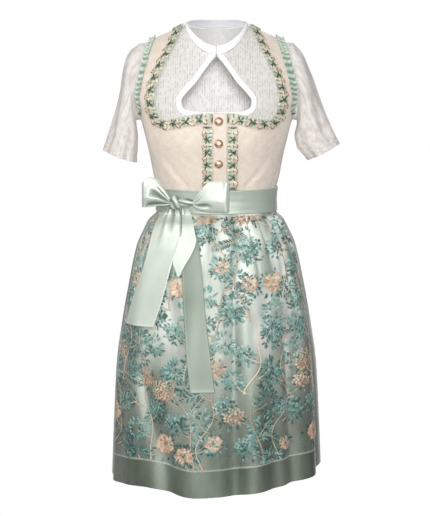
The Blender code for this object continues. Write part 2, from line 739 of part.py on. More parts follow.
# --- bodice --------------------------------------------------------------------------------------------
def bodice_front_cells(side):
    """Cells of one front: a lower block up to the neckline and a strap that carries on its outer part."""
    corner = place_at(NECKLINE_CORNER_X, NECKLINE_LOW[-1].z, BODICE.outer)
    edge = 90.0 - SIDE_SEAM
    inside = 5
    outside = 4
    rows = []
    for z in BODICE_ROWS_Z:
        fall = fall_at(z)
        side_fall = max(fall, BODICE_UNDERARM_FALL)
        near = between((centre_gap_angle(z), fall), (corner[0], fall), inside)
        rows.append(near + between((corner[0], fall), (edge, side_fall), outside)[1:])
    top = []
    for angle, fall in rows[-1][:inside + 1]:
        x = form_point(angle, fall, BODICE.outer).x
        z = read(NECKLINE_LOW, "x", x, "z")
        top.append((angle, place_at(x, z, BODICE.outer)[1]))
    strap = [rows[-1][inside:]]
    strap.append(between(top[-1], (armhole_angle(top[-1][1], BODICE_ARMHOLE_INSET), top[-1][1]), outside))
    for level in LEVELS_UP[1:-1] + (SHOULDER_SEAM_FALL,):
        start = (edge_angle(NECKLINE_STRAP, level, BODICE.outer), level)
        strap.append(between(start, (armhole_angle(level, BODICE_ARMHOLE_INSET), level), outside))
    blocks = [rows, [rows[-1][:inside + 1], top], strap]
    if side < 0.0:
        blocks = [mirrored(block) for block in blocks]
    return [cell for block in blocks for cell in strip_cells(block)]


def bodice_back_rows():
    columns = 5
    side = 90.0 - SIDE_SEAM
    rows = []
    for z in BODICE_ROWS_Z:
        side_fall = max(fall_at(z), BODICE_UNDERARM_FALL)
        rows.append(between((0.0, fall_at(z)), (side, side_fall), columns))
    inner = [(0.0, 0.90), (0.0, 0.80)]
    inner += [place_at(p.x, p.z, BODICE.outer) for p in BACK_NECKLINE[:4]]
    inner += [(edge_angle(BACK_NECKLINE, level, BODICE.outer), level) for level in BACK_BRAID_LEVELS]
    levels = (0.93, 0.86, 0.78, 0.69, 0.60, 0.48) + BACK_BRAID_LEVELS
    return behind(rows + rows_to_armhole(inner, levels, columns, BODICE_ARMHOLE_INSET))


def strip_on_front(left_x, right_x, heights, out, columns):
    """Rows of a vertical strip on the front between two values of x."""
    return [between(place_at(left_x, z, out), place_at(right_x, z, out), columns) for z in heights]


def band_rows(bands, out):
    rows = []
    for band in bands:
        inner = place_at(band.inner_x, band.inner_z, out)
        rows.append(between(inner, place_at(band.outer_x, band.outer_z, out), 2))
    return rows


def strap_braid_row(level, outline):
    """A row of braid across the strap, from the neckline outwards."""
    inner = edge_angle(outline, level, BRAID.outer)
    here = form_point(inner, level, BRAID.outer)
    return between((inner, level), (angle_at(here.x + BRAID_WIDTH, here.z, BRAID.outer), level), 2)


def build_braids():
    placket_left = PLACKET_X + PLACKET_HALF_WIDTH + 2.0 * SEAM
    placket_right = PLACKET_HALF_WIDTH - PLACKET_X + 2.0 * SEAM
    strap = [strap_braid_row(level, NECKLINE_STRAP) for level in BRAID_LEVELS]
    heights = (SASH_TOP_Z + SEAM,) + BODICE_ROWS_Z[2:-1] + (PLACKET_BRAID_TOP_Z,)
    for side_name, near in (("left", placket_left), ("right", placket_right)):
        first = [Band(near, NECK_BRAID[0].inner_z, near, NECK_BRAID[0].outer_z)]
        rows = band_rows(first + NECK_BRAID, BRAID.outer) + strap
        column = strip_on_front(near, near + BRAID_WIDTH, heights, BRAID.outer, 2)
        if side_name == "right":
            rows = mirrored(rows)
            column = mirrored(column)
        cloth_wall("neck_braid_" + side_name, strip_cells(rows), BRAID, BRAID_RIBBON)
        cloth_wall("placket_braid_" + side_name, strip_cells(column), BRAID, BRAID_RIBBON)
    back = band_rows(BACK_BRAID, BRAID.outer)
    back += [strap_braid_row(level, BACK_NECKLINE) for level in BACK_BRAID_LEVELS]
    back = behind(back)
    cloth_wall("neck_braid_back", strip_cells(back) + strip_cells(mirrored(back)), BRAID, BRAID_RIBBON)


def ruffle_row(share):
    """A closed row of the armhole ruffle, share 0 at its inner edge and 1 beside the sleeve."""
    row = []
    for angle, fall in armhole_loop(0.0):
        back = not is_front(angle)
        low = max(0.0, (fall - 0.6) / 0.4)
        sidewards = math.sqrt(1.0 - low * low)
        reach = -RUFFLE_OUTER * share - RUFFLE_INNER * (1.0 - share)
        drop = RUFFLE_OUTER_DROP * share + RUFFLE_INNER_DROP * (1.0 - share)
        place = (180.0 - angle if back else angle) + reach * sidewards, fall + drop * (1.0 - sidewards)
        row.append(to_back(place) if back else place)
    return row


def build_buttons():
    for number, z in enumerate(BUTTON_Z, start=1):
        angle, fall = place_at(BUTTON_X, z, PLACKET.outer)
        here = form_point(angle, fall, PLACKET.outer)
        beside = form_point(angle + 2.0, fall, PLACKET.outer) - form_point(angle - 2.0, fall, PLACKET.outer)
        above = form_point(angle, fall - 0.04, PLACKET.outer) - form_point(angle, fall + 0.04, PLACKET.outer)
        normal = beside.cross(above).normalized()
        turned_solid(f"button_{number}", BUTTON_PROFILE, BUTTON_TOP, BUTTON_SIDES, BRASS,
                     here + normal * 2.0 * SEAM, normal)


def build_bodice():
    cloth_wall("bodice_front_left", bodice_front_cells(1.0), BODICE, CREAM_CLOTH)
    cloth_wall("bodice_front_right", bodice_front_cells(-1.0), BODICE, CREAM_CLOTH)
    back = bodice_back_rows()
    cloth_wall("bodice_back", strip_cells(back) + strip_cells(mirrored(back)), BODICE, CREAM_CLOTH)
    heights = (SASH_TOP_Z + SEAM,) + BODICE_ROWS_Z[2:] + (PLACKET_TOP_Z,)
    placket = strip_on_front(PLACKET_X - PLACKET_HALF_WIDTH, PLACKET_X + PLACKET_HALF_WIDTH, heights,
                             PLACKET.outer, 3)
    cloth_wall("button_placket", strip_cells(placket), PLACKET, CREAM_CLOTH)
    build_braids()
    ruffle = [ruffle_row(share) for share in (0.0, 1.0)]
    cloth_wall("armhole_ruffle_left", strip_cells(ruffle, closed=True), RUFFLE, MINT_RIBBON)
    cloth_wall("armhole_ruffle_right", strip_cells(mirrored(ruffle), closed=True), RUFFLE, MINT_RIBBON)
    build_buttons()


# --- skirt and apron -------------------------------------------------------------------------------------
def skirt_row(angles, z):
    return [(angle, fall_at(z)) for angle in angles]


def hem_row(angles, column):
    return [(angle, fall_at(read(HEMS, "angle", angle, column))) for angle in angles]


def column_angles(start, end):
    """Angles of the skirt's columns from start to end, at whole multiples of the column's width."""
    first = math.floor(start / SKIRT_COLUMN) + 1
    last = math.ceil(end / SKIRT_COLUMN) - 1
    return [start] + [i * SKIRT_COLUMN for i in range(first, last + 1)] + [end]


def skirt_panel_rows(angles):
    rows = [skirt_row(angles, z) for z in SKIRT_ROWS_Z]
    return rows + [hem_row(angles, "apron_z"), hem_row(angles, "skirt_z")]


def build_skirt():
    front = skirt_panel_rows(column_angles(-90.0 + SIDE_SEAM, 90.0 - SIDE_SEAM))
    cloth_wall("skirt_front", strip_cells(front), SKIRT, SAGE_SATIN)
    half = skirt_panel_rows(column_angles(90.0 + SIDE_SEAM, 180.0))
    cloth_wall("skirt_back", strip_cells(half) + strip_cells(mirrored_back(half)), SKIRT, SAGE_SATIN)


def mirrored_back(rows):
    """The other half of the skirt's back, whose hem has its own heights."""
    angles = [-angle for angle, fall in rows[0]]
    angles[-1] = 180.0
    other = skirt_panel_rows([-180.0 if angle == 180.0 else angle for angle in angles])
    return [[(180.0 if angle == -180.0 else angle, fall) for angle, fall in row] for row in other]


def build_apron():
    angles = column_angles(-APRON_EDGE, APRON_EDGE)
    rows = [skirt_row(angles, z) for z in (APRON_TOP_Z,) + SKIRT_ROWS_Z]
    rows.append(hem_row(angles, "apron_z"))
    cloth_wall("apron_panel", strip_cells(rows), APRON, SHEER_CLOTH)


# --- sash and bow ------------------------------------------------------------------------------------------
def build_sash_band():
    angles = [9.0 * i for i in range(-20, 20)]
    rows = [skirt_row(angles, z) for z in (SASH_BOTTOM_Z, SASH_TOP_Z)]
    cloth_wall("sash_band", strip_cells(rows, closed=True), SASH, SASH_SATIN)


def build_knot(name, centre, radii):
    shape = bmesh.new()
    bmesh.ops.create_uvsphere(shape, u_segments=12, v_segments=7, radius=1.0)
    for vert in shape.verts:
        vert.co = Vector((vert.co.x * radii.x, vert.co.y * radii.y, vert.co.z * radii.z))
    mesh = bpy.data.meshes.new(name)
    shape.to_mesh(mesh)
    shape.free()
    knot = add_object(name, mesh, SASH_SATIN)
    knot.location = centre


def build_loop(name, root, direction, stations):
    """A flat loop of ribbon standing out from its root: its front layer out, its back layer home."""
    along = direction.normalized()
    outward = Vector((along.y, -along.x, 0.0))
    if outward.y > 0.0:
        outward.negate()
    path = [(s.along, s.bulge, s) for s in stations] + [(s.along, -s.bulge, s) for s in reversed(stations)]

    def point(step, share, out):
        here_along, here_bulge, station = path[step]
        before = path[max(step - 1, 0)]
        after = path[min(step + 1, len(path) - 1)]
        run = Vector((after[0] - before[0], after[1] - before[1])).normalized()
        flat = Vector((here_along - run.y * out, here_bulge + run.x * out))
        height = station.bottom + (station.top - station.bottom) * share
        return root + along * flat.x + outward * flat.y + Vector((0.0, 0.0, height))

    rows = [[(step, share) for step in range(len(path))] for share in (0.0, 1.0)]
    cloth_wall(name, strip_cells(rows), Layer(-LOOP_WALL / 2.0, LOOP_WALL / 2.0), SASH_SATIN, point)


def build_tail(name, table):
    def point(angle, fall, lift, out):
        return form_point(angle, fall, lift + out)

    rows = []
    for row in table:
        side = (angle_at(row.side_x, row.z, row.lift), fall_at(row.z), row.lift)
        centre = (angle_at(row.centre_x, row.z, row.lift), fall_at(row.z), row.lift)
        rows.append(between(side, centre, TAIL_COLUMNS))
    cloth_wall(name, strip_cells(rows), Layer(0.0, TAIL_WALL), SASH_SATIN, point)


def build_bow():
    build_knot("bow_knot", KNOT_CENTRE, KNOT_RADII)
    build_knot("bow_wrap", WRAP_CENTRE, WRAP_RADII)
    build_loop("bow_loop_outer", LOOP_OUTER_ROOT, LOOP_OUTER_DIRECTION, LOOP_OUTER)
    build_loop("bow_loop_inner", LOOP_INNER_ROOT, LOOP_INNER_DIRECTION, LOOP_INNER)
    build_tail("bow_tail_outer", TAIL_OUTER)
    build_tail("bow_tail_inner", TAIL_INNER)


def build_dress():
    clear_scene()
    build_blouse()
    build_sleeve("left", 1.0, SLEEVE_LEFT)
    build_sleeve("right", -1.0, SLEEVE_RIGHT)
    build_bodice()
    build_skirt()
    build_apron()
    build_sash_band()
    build_bow()


build_dress()
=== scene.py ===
"""Looks of the dirndl dress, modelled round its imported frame.

Metres, +Z up, front at -Y, +X the wearer's left. A place on the form is (angle, fall): angle runs round the
body in degrees, 0 at the centre front, 90 at the wearer's left and 180 at the centre back; fall runs down it,
0 on the shoulder, 1 at the underarm, more below. The form, the outlines and the layers repeat those of the
solids, and each piece is a finer shell on the same form.
"""

import math
from collections import namedtuple

import bpy
import numpy as np
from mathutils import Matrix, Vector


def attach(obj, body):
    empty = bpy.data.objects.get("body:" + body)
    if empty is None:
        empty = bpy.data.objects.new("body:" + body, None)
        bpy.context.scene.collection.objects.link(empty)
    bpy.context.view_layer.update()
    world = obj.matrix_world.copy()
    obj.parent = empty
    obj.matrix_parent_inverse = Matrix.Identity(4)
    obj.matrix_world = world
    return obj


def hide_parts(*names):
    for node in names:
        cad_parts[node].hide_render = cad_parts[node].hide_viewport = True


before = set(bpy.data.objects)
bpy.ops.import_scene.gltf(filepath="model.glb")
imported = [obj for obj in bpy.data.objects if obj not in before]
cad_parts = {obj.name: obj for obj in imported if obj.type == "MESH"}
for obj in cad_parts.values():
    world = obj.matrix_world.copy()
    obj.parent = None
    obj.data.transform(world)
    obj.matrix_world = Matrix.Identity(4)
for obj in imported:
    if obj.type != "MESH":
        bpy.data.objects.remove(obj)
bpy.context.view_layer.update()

Layer = namedtuple("Layer", "inner outer")
Ring = namedtuple("Ring", "z half_width front back")
Outline = namedtuple("Outline", "x z")
Armhole = namedtuple("Armhole", "fall angle")
Fold = namedtuple("Fold", "angle_top angle_hem width depth starts")
Hem = namedtuple("Hem", "angle skirt_z apron_z")
SleeveRing = namedtuple("SleeveRing", "outer_x outer_z inner_x inner_z half_depth")
Band = namedtuple("Band", "inner_x inner_z outer_x outer_z")
Tail = namedtuple("Tail", "z side_x centre_x lift")
Loop = namedtuple("Loop", "along bulge top bottom")
Crease = namedtuple("Crease", "angle_from z_from angle_to z_to width depth")
Wave = namedtuple("Wave", "share crests sway slow_crests shift")

# --- the form, as the solids have it --------------------------------------------------------------
SEAM = 0.0003
UNDERARM_Z = -0.190
WAIST_Z = -0.366
BLOUSE_END_Z = -0.250
SASH_TOP_Z = -0.339
SASH_BOTTOM_Z = -0.391
APRON_TOP_Z = -0.352
FALL_PER_UNIT = 0.200
RING_POWER = 2.3
SHOULDER_POWER = 1.5
TOP_HALF_WIDTH = 0.172
SHOULDER_HEIGHT = 0.044
SHOULDER_SLOPE = 0.46
NECK_SOFTNESS = 0.020
NECK_RISE = 0.050
NECK_RADIUS = 0.045
BUST_DEPTH = 0.010
BUST_X = 0.075
BUST_Z = -0.225
BUST_WIDTH = 0.050
BUST_HEIGHT = 0.045

BLOUSE = Layer(0.0, 0.0010)
BINDING = Layer(0.0014, 0.0024)
BODICE = Layer(0.0032, 0.0048)
SKIRT = Layer(0.0032, 0.0048)
PLACKET = Layer(0.0054, 0.0066)
BRAID = Layer(0.0065, 0.0086)
RUFFLE = Layer(0.0062, 0.0080)
APRON = Layer(0.0054, 0.0064)
SASH = Layer(0.0074, 0.0089)
COLLAR = Layer(0.0, 0.0012)

SECTIONS = [
    Ring(0.020, 0.172, 0.115, 0.100),
    Ring(-0.050, 0.184, 0.115, 0.100),
    Ring(-0.100, 0.190, 0.115, 0.100),
    Ring(-0.140, 0.187, 0.115, 0.100),
    Ring(-0.166, 0.1735, 0.115, 0.100),
    Ring(-0.190, 0.1625, 0.115, 0.100),
    Ring(-0.235, 0.1505, 0.117, 0.098),
    Ring(-0.275, 0.1415, 0.111, 0.094),
    Ring(-0.310, 0.1350, 0.104, 0.090),
    Ring(-0.345, 0.1270, 0.097, 0.087),
    Ring(-0.366, 0.1255, 0.095, 0.087),
    Ring(-0.391, 0.1262, 0.096, 0.088),
    Ring(-0.397, 0.1290, 0.099, 0.092),
    Ring(-0.412, 0.1440, 0.112, 0.110),
    Ring(-0.435, 0.1560, 0.124, 0.124),
    Ring(-0.469, 0.1710, 0.137, 0.140),
    Ring(-0.540, 0.1865, 0.150, 0.156),
    Ring(-0.640, 0.2035, 0.165, 0.172),
    Ring(-0.740, 0.2160, 0.176, 0.182),
    Ring(-0.860, 0.2215, 0.184, 0.190),
    Ring(-1.000, 0.2270, 0.190, 0.196),
]

# --- outlines of the cut edges on one half, from the lowest point up ------------------------------
NECKLINE_CORNER_X = 0.116
NECKLINE_LOW = [
    Outline(0.000, -0.1705),
    Outline(0.030, -0.1705),
    Outline(0.060, -0.1755),
    Outline(0.085, -0.1810),
    Outline(NECKLINE_CORNER_X, -0.1865),
]
NECKLINE_STRAP = [
    Outline(NECKLINE_CORNER_X, -0.1865),
    Outline(0.1300, -0.1700),
    Outline(0.1355, -0.1450),
    Outline(0.1315, -0.1175),
    Outline(0.1190, -0.0800),
    Outline(0.0990, -0.0420),
    Outline(0.0860, -0.0120),
    Outline(0.0738, 0.0142),
]
BACK_NECKLINE = [
    Outline(0.0000, -0.1050),
    Outline(0.0400, -0.1010),
    Outline(0.0680, -0.0860),
    Outline(0.0820, -0.0600),
    Outline(0.0860, -0.0300),
    Outline(0.0850, -0.0050),
    Outline(0.0738, 0.0142),
]
KEYHOLE_LOW_Z = -0.1690
KEYHOLE = [
    Outline(0.0000, KEYHOLE_LOW_Z),
    Outline(0.0200, -0.1688),
    Outline(0.0400, -0.1683),
    Outline(0.0580, -0.1670),
    Outline(0.0740, -0.1580),
    Outline(0.0755, -0.1440),
    Outline(0.0571, -0.1200),
    Outline(0.0440, -0.1060),
    Outline(0.0320, -0.0890),
    Outline(0.0165, -0.0680),
    Outline(0.0004, -0.0480),
]
NECK_FRONT_Z = -0.0470
NECK_BACK_Z = 0.0065
NECK_SIDE_Z = 0.0150
NECK_HALF_WIDTH = 0.0690
NECK_ROUNDNESS = 0.75
SHOULDER_SEAM_FALL = 0.006
ARMHOLES = [
    Armhole(0.00, 52.8),
    Armhole(0.24, 54.5),
    Armhole(0.36, 55.8),
    Armhole(0.50, 58.0),
    Armhole(0.64, 61.5),
    Armhole(0.76, 66.0),
    Armhole(0.86, 72.0),
    Armhole(0.93, 79.0),
    Armhole(1.00, 90.0),
]
BODICE_ARMHOLE_INSET = 1.3
BODICE_UNDERARM_FALL = 1.022
ARMHOLE_STEPS = (0.0, 0.12, 0.24, 0.36, 0.50, 0.64, 0.76, 0.86, 0.93, 1.0)
STRAP_LEVELS = (0.93, 0.86, 0.76, 0.64, 0.50, 0.36, 0.24, 0.12, SHOULDER_SEAM_FALL)
BLOUSE_LOW_Z = -0.220
BLOUSE_FRONT_LEVELS = (0.98, 0.955, 0.93, 0.895, 0.86, 0.81, 0.76, 0.70, 0.64, 0.57, 0.50, 0.43, 0.36, 0.24,
                       0.12, SHOULDER_SEAM_FALL)
BLOUSE_CENTRE_FALLS = (0.86, 0.72, 0.58)
BODICE_CENTRE_FALLS = (1.0, 0.90, 0.80)
BODICE_BACK_LEVELS = (0.93, 0.86, 0.78, 0.69, 0.60, 0.48, 0.36, 0.24, 0.12, SHOULDER_SEAM_FALL)
# How many points of the back neckline lie below its straps.
BACK_NECKLINE_LOW = 4
# How far a panel's edge stays from the centre front, in degrees.
SEAM_ANGLE = 0.1

# --- thickness of the cloth, where a piece has one ------------------------------------------------
CLOTH_THICKNESS = 0.0012
BODICE_THICKNESS = 0.0016
PLACKET_THICKNESS = 0.0011
COLLAR_THICKNESS = 0.0014
BINDING_THICKNESS = 0.0008
BOW_THICKNESS = 0.0008
RUFFLE_THICKNESS = 0.0004

# --- how fine the meshes are ----------------------------------------------------------------------
# Steps are stretches between two given places, and the columns of blouse, bodice and braid are stretches too.
# Other rows and columns are lines of points.
BLOUSE_STEPS = 5
BLOUSE_COLUMNS = 30
COLLAR_COLUMNS = 60
COLLAR_ROWS = 9
BINDING_STEPS = 6
BINDING_COLUMNS = 8
SLEEVE_COLUMNS = 121
SLEEVE_ROWS = 70
SLEEVE_HEM_ROWS = 8
BODICE_LOW_ROWS = 46
BODICE_TOP_ROWS = 7
BODICE_STRAP_ROWS = 60
BODICE_INNER_COLUMNS = 40
BODICE_OUTER_COLUMNS = 28
BODICE_BACK_COLUMNS = 44
BODICE_BACK_STEPS = 6
PLACKET_ROWS = 60
PLACKET_COLUMNS = 16
BUTTON_SIDES = 40
BRAID_COLUMNS = 8
BRAID_STEPS = 10
PLACKET_BRAID_ROWS = 5
RUCHE_STEPS = 14
RUCHE_COLUMNS = 11
RUFFLE_STEPS = 10
RUFFLE_COLUMNS = 9
SKIRT_ROWS = 118
SKIRT_BACK_COLUMNS = 131
FRONT_COLUMNS = 301
APRON_ROWS = 160
SASH_COLUMNS = 361
SASH_ROWS = 28
KNOT_TURNS = 61
KNOT_RISES = 31
LOOP_STEPS = 12
LOOP_COLUMNS = 61
TAIL_STEPS = 24
TAIL_COLUMNS = 41
TAIL_ROWS = 131
STEM_STEPS = 6
FLOOR_SIDES = 64
# Points closer than a micrometre are welded, and a surface's directions are taken over a few millimetres.
WELD_DIGITS = 6
FRAME_STEP = 0.003

# --- trims ----------------------------------------------------------------------------------------
BRAID_WIDTH = 0.024
PLACKET_X = 0.0075
PLACKET_HALF_WIDTH = 0.0150
PLACKET_TOP_Z = -0.1715
PLACKET_BRAID_TOP_Z = -0.1990
PLACKET_BRAID_GAP = 2.0 * SEAM
PLACKET_PUCKER = 0.0003
BINDING_WIDTH = 0.011
BINDING_NECK_GAP = 4.0 * SEAM
BINDING_CENTRE_GAP = 2.0 * SEAM
BINDING_CROWN = 0.0009
BINDING_SINK = 0.0004
COLLAR_HEIGHT = 0.018
COLLAR_LEAN = 0.005
COLLAR_NARROWING = 0.65
COLLAR_GAP = 0.0016
COLLAR_END = 0.4
COLLAR_FIRST_TURN = 6.0
COLLAR_SWELL = 0.0010
NECK_TURNS = (20.0, 40.0, 60.0, 75.0, 90.0)
# Puckers of the lace: height, how many run round and down, their sway and slant, the angle where they end,
# and over how many degrees they fade before it.
PUCKER_HEIGHT = 0.0005
PUCKERS_ROUND = 9.0
PUCKERS_DOWN = 17.0
PUCKER_SWAY = 3.0
PUCKER_SWAY_WAVES = 5.0
PUCKER_SLANT = 2.0
PUCKER_END = 88.0
PUCKER_FADE = 12.0
# Ruffles: how far they reach from the armhole in degrees, inwards and outwards, how far they drop below it,
# and the fall from which they turn towards the underarm.
RUFFLE_INNER_LEFT = 8.0
RUFFLE_INNER_RIGHT = 6.2
RUFFLE_OUTER = 0.9
RUFFLE_INNER_DROP = 0.070
RUFFLE_OUTER_DROP = 0.032
RUFFLE_LOW_FALL = 0.6

SLEEVE_RIGHT = [
    SleeveRing(0.1690, -0.0245, 0.1780, -0.1925, 0.0440),
    SleeveRing(0.1900, -0.0400, 0.1780, -0.2010, 0.0505),
    SleeveRing(0.2045, -0.0750, 0.1760, -0.2120, 0.0580),
    SleeveRing(0.2130, -0.1300, 0.1740, -0.2270, 0.0585),
    SleeveRing(0.2260, -0.1870, 0.1735, -0.2480, 0.0580),
    SleeveRing(0.2430, -0.2480, 0.1760, -0.2790, 0.0570),
]
SLEEVE_LEFT = [
    SleeveRing(0.1690, -0.0245, 0.1780, -0.1925, 0.0440),
    SleeveRing(0.1880, -0.0460, 0.1780, -0.2000, 0.0505),
    SleeveRing(0.2060, -0.0900, 0.1770, -0.2090, 0.0580),
    SleeveRing(0.2240, -0.1400, 0.1725, -0.2270, 0.0585),
    SleeveRing(0.2440, -0.1870, 0.1770, -0.2490, 0.0580),
    SleeveRing(0.2655, -0.2320, 0.1975, -0.2730, 0.0570),
]
SLEEVE_HEM_WIDTH = 0.012
# How far a sleeve's cloth stands out from its rings, and its head from the armhole in degrees, and how much
# the way from there to the first ring is eased.
SLEEVE_OUT = 0.0005
SLEEVE_HEAD_OUT = 0.2
SLEEVE_HEAD_EASE = 0.4
# A sleeve's folds: how many run along it and how they sway, the finer ones and their share, their depth and
# how fast they deepen; how many run across it, their depth and growth; and where each sleeve's folds start.
SLEEVE_FOLDS = 5.0
SLEEVE_SWAY = 1.5
SLEEVE_SWAY_WAVES = 4.0
SLEEVE_FINE_FOLDS = 9.0
SLEEVE_FINE_SHARE = 0.6
SLEEVE_FOLD_DEPTH = 0.0022
SLEEVE_FOLD_GROWTH = 1.6
SLEEVE_CROSS_FOLDS = 13.0
SLEEVE_CROSS_DEPTH = 0.0008
SLEEVE_CROSS_GROWTH = 3.0
SLEEVE_LEFT_PHASE = 0.4
SLEEVE_RIGHT_PHASE = 2.1

BRAID_REPEAT = 0.0285
NECK_BRAID = [
    Band(0.0300, -0.1705, 0.0300, -0.1945),
    Band(0.0600, -0.1755, 0.0580, -0.1990),
    Band(0.0850, -0.1810, 0.0840, -0.2045),
    Band(0.1040, -0.1850, 0.1120, -0.2080),
    Band(0.1160, -0.1865, 0.1340, -0.2025),
    Band(0.1245, -0.1785, 0.1470, -0.1870),
    Band(0.1300, -0.1700, 0.1535, -0.1720),
]
BACK_BRAID = [
    Band(0.0000, -0.1050, 0.0000, -0.1290),
    Band(0.0400, -0.1010, 0.0460, -0.1245),
    Band(0.0680, -0.0860, 0.0860, -0.1020),
    Band(0.0820, -0.0600, 0.1055, -0.0665),
]
BRAID_LEVELS = (0.76, 0.64, 0.50, 0.36, 0.24, 0.12, SHOULDER_SEAM_FALL)
BACK_BRAID_LEVELS = (0.36, 0.24, 0.12, SHOULDER_SEAM_FALL)
BRAID_GREEN = (0.050, 0.110, 0.060)
BRAID_DEEP_GREEN = (0.018, 0.060, 0.034)
BRAID_MINT = (0.60, 0.65, 0.51)
BRAID_ECRU = (0.86, 0.755, 0.60)
BRAID_ROSE = (0.68, 0.50, 0.40)
BRAID_BROWN = (0.28, 0.13, 0.075)
BRAID_END_INSET = 0.003
# The ruched ribbon: its half width where it is pinched and what it gains between, its lift and swell, how
# deep its stripes are, and how sharply it turns green at a pinch.
RUCHE_WAIST = 0.84
RUCHE_BULGE = 0.16
RUCHE_LIFT = 0.0006
RUCHE_SWELL = 0.0016
RUCHE_STRIPE = 0.12
RUCHE_GREEN_FADE = 0.3
# How leaves of the braid vary: bearing in degrees, step, size and start; then the painted shade at a rim,
# against the painted highlight on the ridge, and a random tone.
BRAID_LEAF_TURN = 9.0
BRAID_LEAF_STEP = 0.0006
BRAID_LEAF_SIZES = (0.82, 1.15)
BRAID_LEAF_START = 0.05
BRAID_LEAF_RIM = 0.78
BRAID_LEAF_SHADES = (0.75, 1.15)
# Leaves of the braid: step along in metres, start across in shares of the half width (-1 is the inner
# edge), bearing in degrees (0 is along, 90 is outwards), length, width, height over the ribbon, rise, and
# colour.
BRAID_STAR = [
    (0.0000, -0.20, 90.0, 0.0095, 0.0056, 0.0020, 0.0012, BRAID_DEEP_GREEN),
    (0.0000, -0.05, 28.0, 0.0115, 0.0034, 0.0024, 0.0014, BRAID_GREEN),
    (0.0000, -0.05, 152.0, 0.0115, 0.0034, 0.0024, 0.0014, BRAID_GREEN),
    (0.0000, -0.15, -36.0, 0.0110, 0.0030, 0.0024, 0.0012, BRAID_GREEN),
    (0.0000, -0.15, -144.0, 0.0110, 0.0030, 0.0024, 0.0012, BRAID_DEEP_GREEN),
    (0.0000, -0.15, -90.0, 0.0095, 0.0052, 0.0022, 0.0014, BRAID_MINT),
    (0.0000, 0.40, 90.0, 0.0070, 0.0040, 0.0022, 0.0014, BRAID_MINT),
]
BRAID_END = [
    (0.0000, -0.50, 90.0, 0.0110, 0.0030, 0.0016, 0.0010, BRAID_GREEN),
    (0.0000, 0.60, -90.0, 0.0110, 0.0028, 0.0016, 0.0010, BRAID_DEEP_GREEN),
]
BRAID_CUP = [
    (-0.0012, 0.95, -64.0, 0.0138, 0.0068, 0.0022, 0.0022, BRAID_ECRU),
    (0.0012, 0.95, -116.0, 0.0138, 0.0068, 0.0022, 0.0022, BRAID_ROSE),
    (0.0000, 0.98, -36.0, 0.0094, 0.0020, 0.0034, 0.0010, BRAID_GREEN),
    (0.0000, 0.98, -144.0, 0.0094, 0.0020, 0.0034, 0.0010, BRAID_GREEN),
    (0.0000, -0.10, 90.0, 0.0085, 0.0016, 0.0044, 0.0008, BRAID_BROWN),
    (0.0000, 0.00, 12.0, 0.0052, 0.0018, 0.0044, 0.0008, BRAID_BROWN),
    (0.0000, 0.00, 168.0, 0.0052, 0.0018, 0.0044, 0.0008, BRAID_BROWN),
    (-0.0010, -0.98, 140.0, 0.0078, 0.0046, 0.0018, 0.0016, BRAID_MINT),
    (0.0010, -0.98, 40.0, 0.0078, 0.0046, 0.0018, 0.0016, BRAID_ECRU),
    (0.0000, -0.95, 90.0, 0.0080, 0.0016, 0.0030, 0.0008, BRAID_DEEP_GREEN),
]
RUFFLE_PLEATS = 39
RUFFLE_END_TURN = 0.414
RUFFLE_DEPTH = 0.0042
RUFFLE_GAP = 0.0002
RUFFLE_SHARES = (-0.12, 1.10)
RUFFLE_UNEVENNESS = 0.55
RUFFLE_UNEVEN_WAVES = (17.0, 31.0)
RUFFLE_SLANT = 1.3
RUFFLE_SLANT_WAVES = 11.0
RUFFLE_SWAY = 1.4
RUFFLE_SWAY_WAVES = 14.0
RUFFLE_CRISPNESS = 1.8
RUFFLE_STITCHED = 0.35
RUFFLE_END_WIDTH = 0.020
# The ruffle's ribbon on its crests, and painted shade in the troughs of its pleats.
RUFFLE_LIGHT = (0.58, 0.68, 0.58)
RUFFLE_TROUGH_SHADE = (0.17, 0.28, 0.21)
BUTTON_X = 0.0047
BUTTON_Z = (-0.1885, -0.2360, -0.2805)
BUTTON_PITCH = 0.0465
BUTTON_PROFILE = [
    (0.0084, 0.0002),
    (0.0091, 0.0005),
    (0.0094, 0.0010),
    (0.0092, 0.0016),
    (0.0086, 0.0018),
    (0.0083, 0.0021),
    (0.0078, 0.0030),
    (0.0068, 0.0039),
    (0.0054, 0.0047),
    (0.0038, 0.0053),
    (0.0019, 0.0056),
]
BUTTON_TOP = 0.0057

